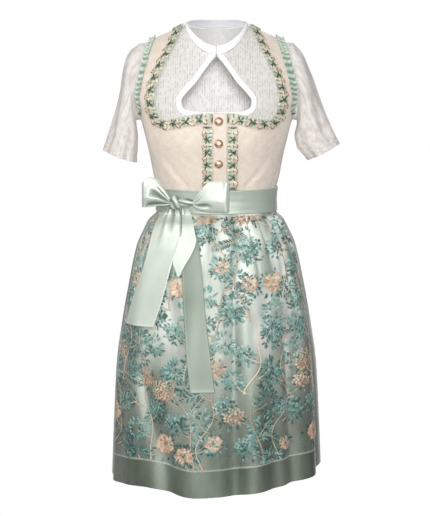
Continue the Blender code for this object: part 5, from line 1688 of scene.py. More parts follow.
def build_buttons():
    turns = np.linspace(0.0, 2.0 * np.pi, BUTTON_SIDES + 1)[:-1]
    faces = button_faces(BUTTON_SIDES, len(BUTTON_PROFILE))
    for number, z in enumerate(BUTTON_Z, start=1):
        here, across, up, outward = surface_frame(BUTTON_X, z, PLACKET.outer)
        rim = across * np.cos(turns)[:, None] + up * np.sin(turns)[:, None]
        points = [here + outward * BUTTON_PROFILE[0][1]]
        for radius, height in BUTTON_PROFILE:
            points.extend(here + outward * height + rim * radius)
        points.append(here + outward * BUTTON_TOP)
        name = f"button_{number}"
        add_piece(name, make_mesh(name, points, faces), BRASS, [name])


# --- braid and ruffle -----------------------------------------------------------------------------
class Shapes:
    """Many small coloured surfaces gathered into one mesh."""

    def __init__(self):
        self.points = []
        self.faces = []
        self.tints = []
        self.count = 0

    def add(self, points, faces, tints):
        """Adds surfaces: points (n, k, 3), the faces of one and a colour for each point of each."""
        n, k = points.shape[:2]
        starts = self.count + np.arange(n)[:, None, None] * k
        self.points.append(points.reshape(-1, 3))
        self.faces.extend((np.asarray(faces)[None] + starts).reshape(-1, len(faces[0])).tolist())
        self.tints.append(np.broadcast_to(tints, points.shape).reshape(-1, 3))
        self.count += n * k

    def mesh(self, name):
        return make_mesh(name, np.concatenate(self.points), self.faces, tint=np.concatenate(self.tints))


# One leaf or petal: place along and across in shares of its length and width, and height in shares of its
# rise.
LEAF = np.array([(0.0, 0.0, 0.0), (0.22, -0.36, 0.2), (0.22, 0.0, 0.9), (0.22, 0.36, 0.2),
                 (0.55, -0.48, 0.3), (0.55, 0.0, 1.0), (0.55, 0.48, 0.3),
                 (0.82, -0.28, 0.2), (0.82, 0.0, 0.7), (0.82, 0.28, 0.2), (1.0, 0.0, 0.1)])
LEAF_FACES = [(0, 2, 1), (0, 3, 2), (1, 2, 5), (1, 5, 4), (2, 3, 6), (2, 6, 5),
              (4, 5, 8), (4, 8, 7), (5, 6, 9), (5, 9, 8), (7, 8, 10), (8, 9, 10)]


def leaf_places(along, across, bearing, length, width):
    """Flat places (along, across) of leaves that start at places and point along bearings in radians."""
    run = LEAF[None, :, 0] * length[:, None]
    side = LEAF[None, :, 1] * width[:, None]
    u = along[:, None] + run * np.cos(bearing)[:, None] - side * np.sin(bearing)[:, None]
    v = across[:, None] + run * np.sin(bearing)[:, None] + side * np.cos(bearing)[:, None]
    return u, v


class BraidLine:
    """A band of braid on the form: places along its length and across its width, both in metres."""

    def __init__(self, inner, outer, mirror=False):
        self.mirror = mirror
        t = np.linspace(0.0, 1.0, BRAID_COLUMNS + 1)[None, :, None]
        self.places = (refined(inner, BRAID_STEPS)[:, None] * (1.0 - t)
                       + refined(outer, BRAID_STEPS)[:, None] * t)
        points = form_points(self.places[..., 0], self.places[..., 1], BRAID.inner)
        self.run = lengths_along(points, 0)[:, BRAID_COLUMNS // 2]
        self.length = self.run[-1]

    def points(self, along, across, height):
        """Points at a length along, a share across from -1 (inner) to 1 (outer), and a height over it."""
        along, across, height = np.broadcast_arrays(along, across, height)
        row = np.interp(along, self.run, np.arange(len(self.run)))
        column = (np.clip(across, -1.0, 1.0) + 1.0) * BRAID_COLUMNS / 2.0
        r = np.clip(row.astype(int), 0, len(self.run) - 2)
        c = np.clip(column.astype(int), 0, BRAID_COLUMNS - 1)
        fr, fc = (row - r)[..., None], (column - c)[..., None]
        p = self.places
        place = ((p[r, c] * (1.0 - fr) + p[r + 1, c] * fr) * (1.0 - fc)
                 + (p[r, c + 1] * (1.0 - fr) + p[r + 1, c + 1] * fr) * fc)
        points = form_points(place[..., 0], place[..., 1], BRAID.inner + height)
        return points * np.array([-1.0 if self.mirror else 1.0, 1.0, 1.0])


def braid_ribbon(shapes, line, repeats):
    """The ruched ribbon under the braid's leaves, in bands of colour across it."""
    along = np.linspace(0.0, line.length, repeats * RUCHE_STEPS + 1)
    across = np.linspace(-1.0, 1.0, RUCHE_COLUMNS)
    turn = 2.0 * np.pi * repeats * along / line.length
    ruche = 0.5 - 0.5 * np.cos(turn)[:, None]
    edge = across[None, :] * (RUCHE_WAIST + RUCHE_BULGE * ruche * np.abs(across[None, :]))
    swell = RUCHE_LIFT + RUCHE_SWELL * ruche * (1.0 - across[None, :] ** 2)
    points = line.points(along[:, None], edge, swell)
    inner = across[None, :, None] < 0.0
    stripe = 1.0 - RUCHE_STRIPE + RUCHE_STRIPE * np.cos(turn * 3.0)[:, None, None]
    band = np.where(inner, BRAID_MINT, BRAID_ECRU) * stripe
    tint = BRAID_GREEN + (band - BRAID_GREEN) * ruche[..., None] ** RUCHE_GREEN_FADE
    faces = grid_faces(len(along), len(across))[:, ::1 if line.mirror else -1]
    shapes.add(points.reshape(1, -1, 3), faces, tint.reshape(1, -1, 3))


def braid_leaves(shapes, line, centres, spec, random):
    """Leaves at each centre, each a little different, from the rows of a table."""
    n = len(centres)
    for step, start, bearing, length, width, base, rise, colour in spec:
        angle = np.radians(bearing + random.normal(0.0, BRAID_LEAF_TURN, n))
        along = centres + step + random.normal(0.0, BRAID_LEAF_STEP, n)
        size = random.uniform(*BRAID_LEAF_SIZES, n)
        start = start + random.normal(0.0, BRAID_LEAF_START, n)
        u, v = leaf_places(along, start, angle, length * size, width * size)
        across = start[:, None] + (v - start[:, None]) / (BRAID_WIDTH / 2.0)
        points = line.points(u, across, base + rise * LEAF[None, :, 2])
        # Painted light: darker at the leaf's rim, lighter on its ridge, then a random tone.
        crest = BRAID_LEAF_RIM + (1.0 - BRAID_LEAF_RIM) * LEAF[None, :, 2]
        shade = crest * random.uniform(*BRAID_LEAF_SHADES, n)[:, None]
        faces = LEAF_FACES if line.mirror else [face[::-1] for face in LEAF_FACES]
        shapes.add(points, faces, np.array(colour)[None, None] * shade[..., None])


def build_braid(name, lines):
    shapes = Shapes()
    random = np.random.default_rng(SEED + len(name))
    for line in lines:
        repeats = max(1, round(line.length / BRAID_REPEAT))
        braid_ribbon(shapes, line, repeats)
        pinches = line.length / repeats * np.arange(repeats + 1)
        ends = pinches[[0, -1]] + np.array([BRAID_END_INSET, -BRAID_END_INSET])
        braid_leaves(shapes, line, pinches[1:-1], BRAID_STAR, random)
        braid_leaves(shapes, line, ends, BRAID_END, random)
        braid_leaves(shapes, line, (pinches[1:] + pinches[:-1]) / 2.0, BRAID_CUP, random)
    add_piece(name, shapes.mesh(name), TRIM, [name])


def band_edges(bands):
    """The inner and outer places of bands of braid."""
    inner = [place_at(band.inner_x, band.inner_z, BRAID.outer) for band in bands]
    outer = [place_at(band.outer_x, band.outer_z, BRAID.outer) for band in bands]
    return inner, outer


def strap_braid_edges(outline, levels):
    """Inner and outer places of the braid that follows a neckline up a strap."""
    levels = np.array(levels)
    inner = edge_angle(outline, levels, BRAID.outer)
    here = form_points(inner, levels, BRAID.outer)
    outer = angle_at(here[:, 0] + BRAID_WIDTH, here[:, 2], BRAID.outer)
    return np.stack([inner, levels], -1), np.stack([outer, levels], -1)


def neckline_braid_edges(bands, outline, levels):
    """Inner and outer places of the braid along a whole neckline, low part and strap."""
    return [np.concatenate(pair) for pair in zip(band_edges(bands), strap_braid_edges(outline, levels))]


def braid_lines_front(mirror):
    """The lines of one side's braid along the neckline and down the placket."""
    near = PLACKET_HALF_WIDTH - PLACKET_X if mirror else PLACKET_X + PLACKET_HALF_WIDTH
    near += PLACKET_BRAID_GAP
    first = Band(near, NECK_BRAID[0].inner_z, near, NECK_BRAID[0].outer_z)
    neck = BraidLine(*neckline_braid_edges([first] + NECK_BRAID, NECKLINE_STRAP, BRAID_LEVELS), mirror)
    heights = np.linspace(SASH_TOP_Z + SEAM, PLACKET_BRAID_TOP_Z, PLACKET_BRAID_ROWS)
    column = BraidLine(place_at(near + 0.0 * heights, heights, BRAID.outer),
                       place_at(near + BRAID_WIDTH + 0.0 * heights, heights, BRAID.outer), mirror)
    return neck, column


def build_braids():
    for side_name, mirror in (("left", False), ("right", True)):
        neck, column = braid_lines_front(mirror)
        build_braid("neck_braid_" + side_name, [neck])
        build_braid("placket_braid_" + side_name, [column])
    edges = [to_back(edge) for edge in neckline_braid_edges(BACK_BRAID, BACK_NECKLINE, BACK_BRAID_LEVELS)]
    build_braid("neck_braid_back", [BraidLine(*edges), BraidLine(*edges, mirror=True)])


def ruffle_places(turns, share, inner_reach):
    """Places of the armhole ruffle, share 0 at its inner edge and 1 beside the sleeve."""
    fall = armhole_fall(np.abs(turns) * 2.0)
    low = np.maximum(0.0, (fall - RUFFLE_LOW_FALL) / (1.0 - RUFFLE_LOW_FALL))
    sidewards = np.sqrt(1.0 - low * low)
    reach = -RUFFLE_OUTER * share - inner_reach * (1.0 - share)
    drop = RUFFLE_OUTER_DROP * share + RUFFLE_INNER_DROP * (1.0 - share)
    angle = armhole_angle_at(fall) + reach * sidewards
    return np.where(turns < 0.0, 180.0 - angle, angle), fall + drop * (1.0 - sidewards)


def ruffle_pleats(turn, share):
    """Uneven pleats, -1 where they lie deepest and 1 at their crests, slanting one way and the other."""
    slant = RUFFLE_SLANT * (share - 0.5) * np.sin(RUFFLE_SLANT_WAVES * np.pi * turn + 1.0)
    sway = RUFFLE_SWAY * np.sin(RUFFLE_SWAY_WAVES * np.pi * turn)
    wave = np.pi * RUFFLE_PLEATS * turn / RUFFLE_END_TURN
    return np.tanh(RUFFLE_CRISPNESS * np.sin(wave + sway + slant))


def build_ruffle(side_name, side, inner_reach):
    """Pleated ribbon over the shoulder and down both sides of the armhole, stitched down along its middle."""
    turns = np.linspace(-RUFFLE_END_TURN, RUFFLE_END_TURN, RUFFLE_PLEATS * RUFFLE_STEPS + 1)
    turn, share = np.meshgrid(turns, np.linspace(*RUFFLE_SHARES, RUFFLE_COLUMNS), indexing="ij")
    crest = 0.5 + 0.5 * ruffle_pleats(turn, share)
    first, second = (np.sin(waves * np.pi * turn) for waves in RUFFLE_UNEVEN_WAVES)
    uneven = 1.0 + RUFFLE_UNEVENNESS * first * second
    open_edge = np.abs(share - 0.5) * 2.0
    stitched = RUFFLE_STITCHED + (1.0 - RUFFLE_STITCHED) * open_edge
    angle, fall = ruffle_places(turn, share, inner_reach)
    height = RUFFLE_DEPTH * uneven * stitched * crest
    points = form_points(angle, fall, RUFFLE.inner + RUFFLE_GAP + height) * np.array([side, 1.0, 1.0])
    # Painted shade: the ribbon darkens from its crests into the troughs of its pleats.
    crest_light = crest[..., None]
    end = bell(np.abs(turn) - RUFFLE_END_TURN, RUFFLE_END_WIDTH)[..., None]
    tint = (np.array(RUFFLE_TROUGH_SHADE) * (1.0 - crest_light) + np.array(RUFFLE_LIGHT) * crest_light) * (1.0 - end)
    tint = tint + np.array(BRAID_GREEN) * end
    name = "armhole_ruffle_" + side_name
    mesh = make_mesh(name, points, grid_faces(*turn.shape)[:, ::int(side)], tint=tint.reshape(-1, 3))
    add_piece(name, mesh, TRIM, [name], RUFFLE_THICKNESS)


# --- skirt, apron and sash ------------------------------------------------------------------------
def wave_round(angle, waves):
    """Sum of waves round the body, each moved to and fro by a slower one."""
    total = 0.0
    for wave in waves:
        slow = wave.sway * np.sin(np.radians(angle * wave.slow_crests) + wave.shift)
        total = total + wave.share * np.sin(np.radians(angle * wave.crests) + slow)
    return total


def gather_depth(angle, z):
    """Fine uneven gathers that fan down from the waist and fade."""
    start = smooth_step((SASH_BOTTOM_Z - z) / GATHER_START)
    length = GATHER_LENGTH + GATHER_LENGTH_SWAY * np.sin(np.radians(angle * GATHER_LENGTH_CRESTS) + 0.7)
    fade = np.exp(-np.maximum(SASH_BOTTOM_Z - z, 0.0) / length)
    return GATHER_DEPTH * wave_round(angle, GATHER_WAVES) * start * fade


def skirt_unevenness(angle, z):
    """What the finer cloth adds to the solid's folds; it is nothing under the sash."""
    below = smooth_step((SASH_BOTTOM_Z + UNEVEN_RISE - z) / UNEVEN_START)
    creases = crease_depth(SKIRT_CREASES, angle, z, SKIRT_METRES_PER_DEGREE)
    return (creases + gather_depth(angle, z)) * below


def skirt_points(first, last, columns, top_z, low_at, rows, out):
    """A panel's points between two angles, rows from its lower edge up."""
    angles = np.linspace(first, last, columns)
    t = np.linspace(0.0, 1.0, rows)[:, None]
    z = low_at(angles)[None, :] * (1.0 - t) + top_z * t
    angle = np.broadcast_to(angles[None, :], z.shape)
    return form_points(angle, fall_at(z), out + skirt_unevenness(angle, z))


def crisp_edges(piece):
    """Keeps the cloth's own light right up to its edges, so that two panels meet without a bright line."""
    faces_at = np.zeros(len(piece.data.edges), int)
    corner_edges = np.empty(len(piece.data.loops), int)
    piece.data.loops.foreach_get("edge_index", corner_edges)
    np.add.at(faces_at, corner_edges, 1)
    piece.data.edges.foreach_set("use_edge_sharp", faces_at == 1)


def build_skirt():
    panels = {"skirt_front": [(-90.0, 90.0, FRONT_COLUMNS)],
              "skirt_back": [(90.0, 180.0, SKIRT_BACK_COLUMNS), (-180.0, -90.0, SKIRT_BACK_COLUMNS)]}
    for name, parts in panels.items():
        grids = [skirt_points(*part, WAIST_Z - SEAM, skirt_hem_at, SKIRT_ROWS, middle(SKIRT))
                 for part in parts]
        crisp_edges(cloth_piece(name, grids, SKIRT_SATIN, CLOTH_THICKNESS))


def build_apron():
    points = skirt_points(-APRON_EDGE, APRON_EDGE, FRONT_COLUMNS, APRON_TOP_Z, apron_hem_at, APRON_ROWS,
                          middle(APRON))
    cloth_piece("apron_panel", [points], ORGANZA_CLOTH)


def build_sash_band():
    angles = np.linspace(-180.0, 180.0, SASH_COLUMNS)
    angle, z = np.meshgrid(angles, np.linspace(SASH_BOTTOM_Z, SASH_TOP_Z, SASH_ROWS))
    sway = SASH_RIPPLE_SWAY * np.sin(np.radians(angle * 2.0))
    ripple = SASH_RIPPLE * np.sin(z * SASH_RIPPLE_RATE + sway)
    creases = crease_depth(SASH_CREASES, angle, z, SASH_METRES_PER_DEGREE)
    points = form_points(angle, fall_at(z), middle(SASH) + ripple + creases)
    points[:, -1] = points[:, 0]
    cloth_piece("sash_band", [points], SASH_SATIN, CLOTH_THICKNESS)


# --- bow ------------------------------------------------------------------------------------------
def build_knot(name, centre, radii, lean):
    """A small bunch of gathered satin; its strands run round it."""
    turns = np.linspace(0.0, 2.0 * np.pi, KNOT_TURNS)
    turn, rise = np.meshgrid(turns, np.linspace(0.0, np.pi, KNOT_RISES), indexing="ij")
    unit = np.stack([np.sin(rise) * np.cos(turn), np.sin(rise) * np.sin(turn), np.cos(rise)], axis=-1)
    slope = unit[..., 2] * math.cos(lean) + unit[..., 0] * math.sin(lean)
    groove = np.sin(KNOT_STRANDS * slope + KNOT_STRAND_SHIFT)
    swell = 1.0 - KNOT_GROOVE * (1.0 - groove) * np.sin(rise)
    points = np.array(centre) + unit * np.array(radii) * swell[..., None]
    # Painted shade in the grooves between the strands.
    light = 1.0 - FOLD_DARKNESS * (0.5 - 0.5 * groove) ** 2
    points[-1], light[-1] = points[0], light[0]
    cloth_piece(name, [points], BOW_SATIN, light=light)


def loop_path(stations):
    """Distances out along the loop, bulges, tops and bottoms, for its front layer out and its back home."""
    table = np.array([(s.along, s.bulge, s.top, s.bottom) for s in stations])
    fine = refined(table, LOOP_STEPS)
    back = fine[::-1].copy()
    back[:, 1] *= -1.0
    return np.concatenate([fine, back])


def loop_folds(share, reach, pleats):
    """How a loop's pleats move its cloth, and the painted shade they leave in it."""
    lift = np.zeros((len(reach), share.shape[1]))
    light = np.ones_like(lift)
    for start, end, wide, depth, begins, ends in pleats:
        line = start + (end - start) * reach
        fold = (smooth_step((reach - begins + LOOP_FOLD_EARLY) / LOOP_FOLD_ENTRY)
                * smooth_step((ends - reach) / LOOP_FOLD_EXIT + LOOP_FOLD_LATE) * bell(share - line, wide))
        lift += depth * fold
        # Painted shade in the troughs of the pleats.
        light *= 1.0 - FOLD_DARKNESS * fold * (depth < 0.0)
    # Painted shade on the loop's lower part.
    light *= 1.0 - LOOP_UNDERSHADE * smooth_step((LOOP_CREST - share) / LOOP_CREST)
    return lift, light


def build_loop(name, root, direction, stations, pleats):
    """A loop of wide ribbon; its pleats radiate from the knot and soften on the way out."""
    path = loop_path(stations)
    along = np.array(direction) / np.linalg.norm(direction)
    outward = np.array([along[1], -along[0], 0.0])
    outward = -outward if outward[1] > 0.0 else outward
    run = np.gradient(path[:, :2], axis=0)
    run /= np.linalg.norm(run, axis=1)[:, None]
    share = np.linspace(0.0, 1.0, LOOP_COLUMNS)[None, :]
    reach = (path[:, 0] / path[:, 0].max())[:, None]
    lift, light = loop_folds(share, reach, pleats)
    slope = np.where(share > LOOP_CREST, (share - LOOP_CREST) / (1.0 - LOOP_CREST), 1.0 - share / LOOP_CREST)
    front = run[:, [0]] > 0.0
    lean = LOOP_LEAN * slope ** LOOP_LEAN_POWER * smooth_step(reach * LOOP_LEAN_GROWTH)
    lift -= lean * smooth_step((1.0 - reach) * LOOP_LEAN_END) * front
    width = np.abs(path[:, [3]] - path[:, [2]])
    lift *= np.clip(width / LOOP_FULL_WIDTH, LOOP_LEAST_FOLD, 1.0)
    flat_along = path[:, [0]] - run[:, [1]] * lift
    flat_out = path[:, [1]] + run[:, [0]] * lift
    height = path[:, [3]] * (1.0 - share) + path[:, [2]] * share
    points = (np.array(root) + along * flat_along[..., None] + outward * flat_out[..., None]
              + np.array([0.0, 0.0, 1.0]) * height[..., None])
    cloth_piece(name, [points], BOW_SATIN, BOW_THICKNESS, light=light)


def tail_layer(table, folds, starts, ends, lift):
    """One layer of a tail, and the painted shade that its folds and the knot leave on it.

    starts and ends are its edges, by shares across and down the tail, and lift says how far it stands out at
    such shares.
    """
    fine = refined(np.array([tuple(row) for row in table]), TAIL_STEPS)
    length = fine[0, 0] - fine[-1, 0]
    shares = (fine[0, 0] - fine[:, 0]) / length
    share = np.linspace(0.0, 1.0, TAIL_COLUMNS)[None, :]
    start, end = (np.interp(share, *np.transpose(edge)) for edge in (starts, ends))
    down = start + (end - start) * np.linspace(0.0, 1.0, TAIL_ROWS)[:, None]
    z, side_x, centre_x, reach = (np.interp(down, shares, fine[:, i]) for i in range(4))
    angle = angle_at(side_x, z, reach) * (1.0 - share) + angle_at(centre_x, z, reach) * share
    wave = np.sin(TAIL_WAVE_DOWN * down + TAIL_WAVE_ACROSS * share)
    out = reach + TAIL_OUT + TAIL_WAVE * wave + lift(share, down)
    # Painted shadow of the knot over the top of the tail.
    light = 1.0 - KNOT_SHADE * smooth_step((TAIL_SHADOW - down) / TAIL_SHADOW)
    for begin, close, width, depth, fades in folds:
        fade = smooth_step((fades - down) / TAIL_FOLD_EXIT + TAIL_FOLD_LATE)
        fold = bell(share - begin - (close - begin) * down, width) * fade
        out = out + depth * fold
        # Painted shade in the troughs of the folds.
        light = light * (1.0 - FOLD_DARKNESS * fold * (depth < 0.0))
    hem = np.minimum(np.minimum(share, 1.0 - share) * TAIL_WIDTH, (1.0 - down) * length)
    out = out + TAIL_HEM_DEPTH * smooth_step((TAIL_HEM - hem) / TAIL_HEM_EDGE)
    return form_points(angle, fall_at(z), out)[::-1], light[::-1]


def build_outer_tail():
    points, light = tail_layer(TAIL_OUTER, TAIL_OUTER_FOLDS, TAIL_START, TAIL_END, lambda share, down: 0.0)
    cloth_piece("bow_tail_outer", [points], BOW_SATIN, BOW_THICKNESS, light=light)


def upper_lift(down):
    """The upper layer lies over the lower one and rises towards its turned edge."""
    turned = smooth_step((down - TAIL_TURN_START) / TAIL_TURN_SLOPE)
    return TAIL_STACK * smooth_step(down / TAIL_STACK_SHARE) + TAIL_TURN_STEP * turned


def build_inner_tail():
    """The inner tail is turned over once: below a pointed edge its duller reverse shows."""
    points, light = tail_layer(TAIL_INNER, TAIL_INNER_FOLDS, TAIL_START, TAIL_TURN_EDGE,
                               lambda share, down: upper_lift(down))
    cloth_piece("bow_tail_inner", [points], BOW_SATIN, BOW_THICKNESS, light=light)
    points, light = tail_layer(TAIL_INNER_TURNED, [], TAIL_TURNED_START, TAIL_END,
                               lambda share, down: TAIL_TILT * (0.5 - share))
    down = np.linspace(1.0, TAIL_TURNED_START[0][1], len(light))[:, None]
    # Painted light and shade down the reverse, from the table.
    light = np.broadcast_to(np.interp(down, *np.transpose(TAIL_REVERSE_LIGHT)), light.shape)
    cloth_piece("bow_tail_inner_turned", [points], SASH_REVERSE, BOW_THICKNESS, replaces=[],
                light=light)


def build_bow():
    build_knot("bow_knot", KNOT_CENTRE, KNOT_RADII, KNOT_LEAN)
    build_knot("bow_wrap", WRAP_CENTRE, WRAP_RADII, WRAP_LEAN)
    build_loop("bow_loop_outer", LOOP_OUTER_ROOT, LOOP_OUTER_DIRECTION, LOOP_OUTER, LOOP_OUTER_PLEATS)
    build_loop("bow_loop_inner", LOOP_INNER_ROOT, LOOP_INNER_DIRECTION, LOOP_INNER, LOOP_INNER_PLEATS)
    build_outer_tail()
    build_inner_tail()


# --- the apron's embroidery: sprays with leaf tufts, ferns, round flower heads and peonies --------
GIRTH_Z = np.linspace(-1.0, -0.38, 63)
GIRTH_ANGLES = np.linspace(0.0, 90.0, 181)


def quarter_lengths():
    """Length round the plain form from the centre front to each angle, at each height."""
    angle, z = np.meshgrid(GIRTH_ANGLES, GIRTH_Z)
    ring = np.stack([half_width_at(z) * sideways(angle), front_depth_at(z) * forward(angle)], axis=-1)
    return lengths_along(ring, 1)


QUARTER_LENGTHS = quarter_lengths()
GIRTH_SHARES = QUARTER_LENGTHS[len(GIRTH_Z) // 2] / QUARTER_LENGTHS[len(GIRTH_Z) // 2, -1]


def girth_at(z):
    """Length from the centre front to the side."""
    return np.interp(z, GIRTH_Z, QUARTER_LENGTHS[:, -1])


def apron_angle(s, z):
    return np.sign(s) * np.interp(np.abs(s) / girth_at(z), GIRTH_SHARES, GIRTH_ANGLES)


def apron_points(s, z, lift):
    angle = apron_angle(s, z)
    return form_points(angle, fall_at(z), APRON.outer + lift + skirt_unevenness(angle, z))


def with_painted_height_light(colour, z):
    """Thread colour at a height: duller, with painted shade low down and painted sheen towards the waist."""
    high = smooth_step((np.asarray(z, float)[..., None] - THREAD_DARK_Z) / THREAD_RISE)
    dull = colour * (1.0 - THREAD_DULL) + THREAD_DULL * colour.mean(axis=-1, keepdims=True)
    # Painted shade low down and painted sheen up towards the waist.
    lit = dull * (THREAD_LOW_LIGHT + (1.0 - THREAD_LOW_LIGHT) * high)
    return lit * (1.0 - THREAD_PAINTED_SHEEN_SHARE * high) + np.array(THREAD_PAINTED_SHEEN) * THREAD_PAINTED_SHEEN_SHARE * high


class Embroidery:
    """Leaves and stems laid on the apron; a place is (s, z), s the length round it from the centre front."""

    def __init__(self, seed):
        self.random = np.random.default_rng(seed)
        self.leaves = []
        self.stems = []

    def leaf(self, s, z, bearing, length, width, colour):
        self.leaves.append((s, z, bearing, length, width, *colour))

    def tuft(self, s, z, reach, height, count, size, colours):
        """A bunch of leaves in an oval, each pointing out from its middle."""
        for _ in range(count):
            turn = self.random.uniform(0.0, 2.0 * math.pi)
            far = math.sqrt(self.random.uniform(TUFT_MIDDLE, 1.0))
            bearing = turn + self.random.normal(0.0, TUFT_TURN_SPREAD)
            length = size * self.random.uniform(*TUFT_SIZE_RANGE)
            self.leaf(s + reach * far * math.cos(turn), z + height * far * math.sin(turn), bearing, length,
                      size * TUFT_LEAF_WIDTH, self.shaded(colours))

    def shaded(self, colours):
        """One of some colours, a little lighter or darker."""
        shade = self.random.uniform(*THREAD_SHADES)
        return [c * shade for c in colours[self.random.integers(len(colours))]]

    def stem(self, points, start_width, end_width, colour):
        self.stems.append((np.asarray(points, float), start_width, end_width, colour))

    def kept(self, s, z):
        """Whether places lie on the apron, clear of its edges and of the sash."""
        angle = apron_angle(s, z)
        on_width = np.abs(angle) < APRON_EDGE - THREAD_EDGE_ANGLE
        return on_width & (z < SASH_BOTTOM_Z - THREAD_TOP_GAP) & (z > apron_hem_at(angle) + THREAD_HEM_GAP)

    def mesh(self, name):
        shapes = Shapes()
        rows = np.array(self.leaves)
        u, v = leaf_places(*rows[:, :5].T)
        inside = np.all(self.kept(u, v), axis=1)
        rows, u, v = rows[inside], u[inside], v[inside]
        level = THREAD_LIFT + THREAD_LEVELS * self.random.uniform(0.0, 1.0, len(rows))
        lift = level[:, None] + THREAD_RIDGE * LEAF[None, :, 2]
        # Painted light: darker at the leaves' rims, lighter along their ridges.
        tint = rows[:, None, 5:8] * (THREAD_RIM_LIGHT + THREAD_RIDGE_LIGHT * LEAF[None, :, 2:3])
        shapes.add(apron_points(u, v, lift), LEAF_FACES, with_painted_height_light(tint, v))
        for stem in self.stems:
            self.add_stem(shapes, *stem)
        return shapes.mesh(name)

    def add_stem(self, shapes, points, start_width, end_width, colour):
        line = refined(points, STEM_STEPS)
        line = line[self.kept(line[:, 0], line[:, 1])]
        if len(line) < 3:
            return
        run = np.gradient(line, axis=0)
        run /= np.linalg.norm(run, axis=1)[:, None]
        half = np.linspace(start_width, end_width, len(line)) / 2.0
        across = np.array(STEM_ACROSS)
        s = line[:, [0]] - run[:, [1]] * half[:, None] * across
        z = line[:, [1]] + run[:, [0]] * half[:, None] * across
        crown = STEM_LIFT + STEM_CROWN * (1.0 - across ** 2)
        points = apron_points(s, z, crown[None, :])
        # Painted light: the stem's crown lit a little off its middle, its rims in painted shade.
        shade = STEM_RIM_LIGHT + STEM_CROWN_LIGHT * (1.0 - np.abs(across - STEM_LIT_ACROSS))
        tint = np.array(colour)[None, None] * shade[None, :, None] * np.ones((len(line), 1, 1))
        faces = grid_faces(len(line), len(across))[:, ::-1]
        shapes.add(points.reshape(1, -1, 3), faces, with_painted_height_light(tint, z).reshape(1, -1, 3))


def bent_path(start, bearing, length, bend, steps):
    """A stem's path that turns steadily one way."""
    path = [start]
    for k in range(steps):
        turn = bearing + bend * (k + 0.5) / steps
        s, z = path[-1]
        path.append((s + length / steps * math.cos(turn), z + length / steps * math.sin(turn)))
    return path


def frond(work, root, bearing, length, bend):
    """A fern: a bent stem with close pairs of narrow leaves, longest below its middle."""
    steps = max(FROND_LEAST_STEPS, round(length / FROND_STEP))
    path = bent_path(root, bearing, length, bend, steps)
    work.stem(path[::2], *FROND_STEM, work.shaded(STEM_COLOURS))
    for k in range(1, steps + 1):
        share = k / steps
        run = bearing + bend * share
        taper = math.sin(math.pi * min(1.0, FROND_TAPER_START + FROND_TAPER_RUN * share)) ** FROND_TAPER_POWER
        size = length * FROND_LEAF_LENGTH * taper
        for side in (-1.0, 1.0):
            work.leaf(*path[k], run + side * FROND_LEAF_TURN, size, size * FROND_LEAF_WIDTH,
                      work.shaded(LEAFY))


def flower_head(work, s, z, radius, lit_colours, shade_colours):
    """A round head of four-petalled florets, painted light towards its upper left and painted shade on the
    rest.
    """
    count = round(FLORETS_PER_SIZE * (radius / FLORET_SIZE) ** 2)
    for k in range(count):
        far = radius * math.sqrt((k + 0.5) / count)
        turn = GOLDEN_ANGLE * k
        place_s, place_z = s + far * math.cos(turn), z + HEAD_FLATNESS * far * math.sin(turn)
        # Painted light on the upper left half of the head, painted shade on the rest.
        lit = 0.5 + 0.5 * (math.sin(turn) - math.cos(turn)) / math.sqrt(2.0) * far / radius
        colour = work.shaded(lit_colours if lit > 0.5 else shade_colours)
        first = work.random.uniform(0.0, FLORET_TURN)
        for petal in range(4):
            work.leaf(place_s, place_z, first + petal * math.pi / 2.0, FLORET_SIZE * FLORET_PETAL[0],
                      FLORET_SIZE * FLORET_PETAL[1], colour)


def peony(work, s, z, radius):
    """A full round bloom: broad petals, each with its wide end outwards, set in a ring of small leaves."""
    drop, reach, height = (share * radius for share in PEONY_RING)
    work.tuft(s, z - drop, reach, height, PEONY_LEAVES, LEAF_SIZE, LEAFY)
    for row in range(PEONY_ROWS):
        share = 1.0 - PEONY_ROW_STEP * row
        count = PEONY_PETALS - 2 * row
        for k in range(count):
            turn = 2.0 * math.pi * (k + 0.5 * row) / count + work.random.normal(0.0, PEONY_TURN_SPREAD)
            far = radius * share * work.random.uniform(*PEONY_REACH_RANGE)
            work.leaf(s + far * math.cos(turn), z + PEONY_FLATNESS * far * math.sin(turn), turn + math.pi,
                      PEONY_PETAL[0] * far, PEONY_PETAL[1] * radius * share, work.shaded(BLOOM_COLOURS))


def add_motif(work, kind, s, z, side):
    """What grows at one bend of a vine."""
    wide = work.random.uniform(*MOTIF_WIDTH)
    for aside, up, reach, height, leaves, size, colours in TUFTS.get(kind, ()):
        work.tuft(s + aside * side * wide, z + up * wide, reach * wide, height * wide, int(leaves * wide),
                  size * LEAF_SIZE, colours)
    if kind in HEADS:
        flower_head(work, s, z, HEAD_RADIUS * wide, *HEADS[kind])
    elif kind == "peony":
        peony(work, s, z, PEONY_RADIUS * wide)
    elif kind == "fern":
        bend = side * work.random.uniform(*FERN_BEND)
        root = (s - FERN_ROOT[0] * side * wide, z - FERN_ROOT[1] * wide)
        for turn, length in FERN_FRONDS:
            frond(work, root, math.pi * (side < 0.0) + side * turn, length, bend)


def vine_places(work, middle_s, heights):
    """Where a vine runs: it winds unevenly and closes in where the apron is gathered."""
    repeat = work.random.uniform(*VINE_REPEAT)
    swing = work.random.uniform(*VINE_SWING)
    turns = 2.0 * math.pi * heights / repeat + work.random.uniform(0.0, 2.0 * math.pi)
    bends = swing * (np.sin(turns) + VINE_WOBBLE * np.sin(VINE_WOBBLE_RATE * turns))
    return (middle_s + bends) * (girth_at(heights) / girth_at(VINE_FULL_Z)) ** VINE_CLOSING


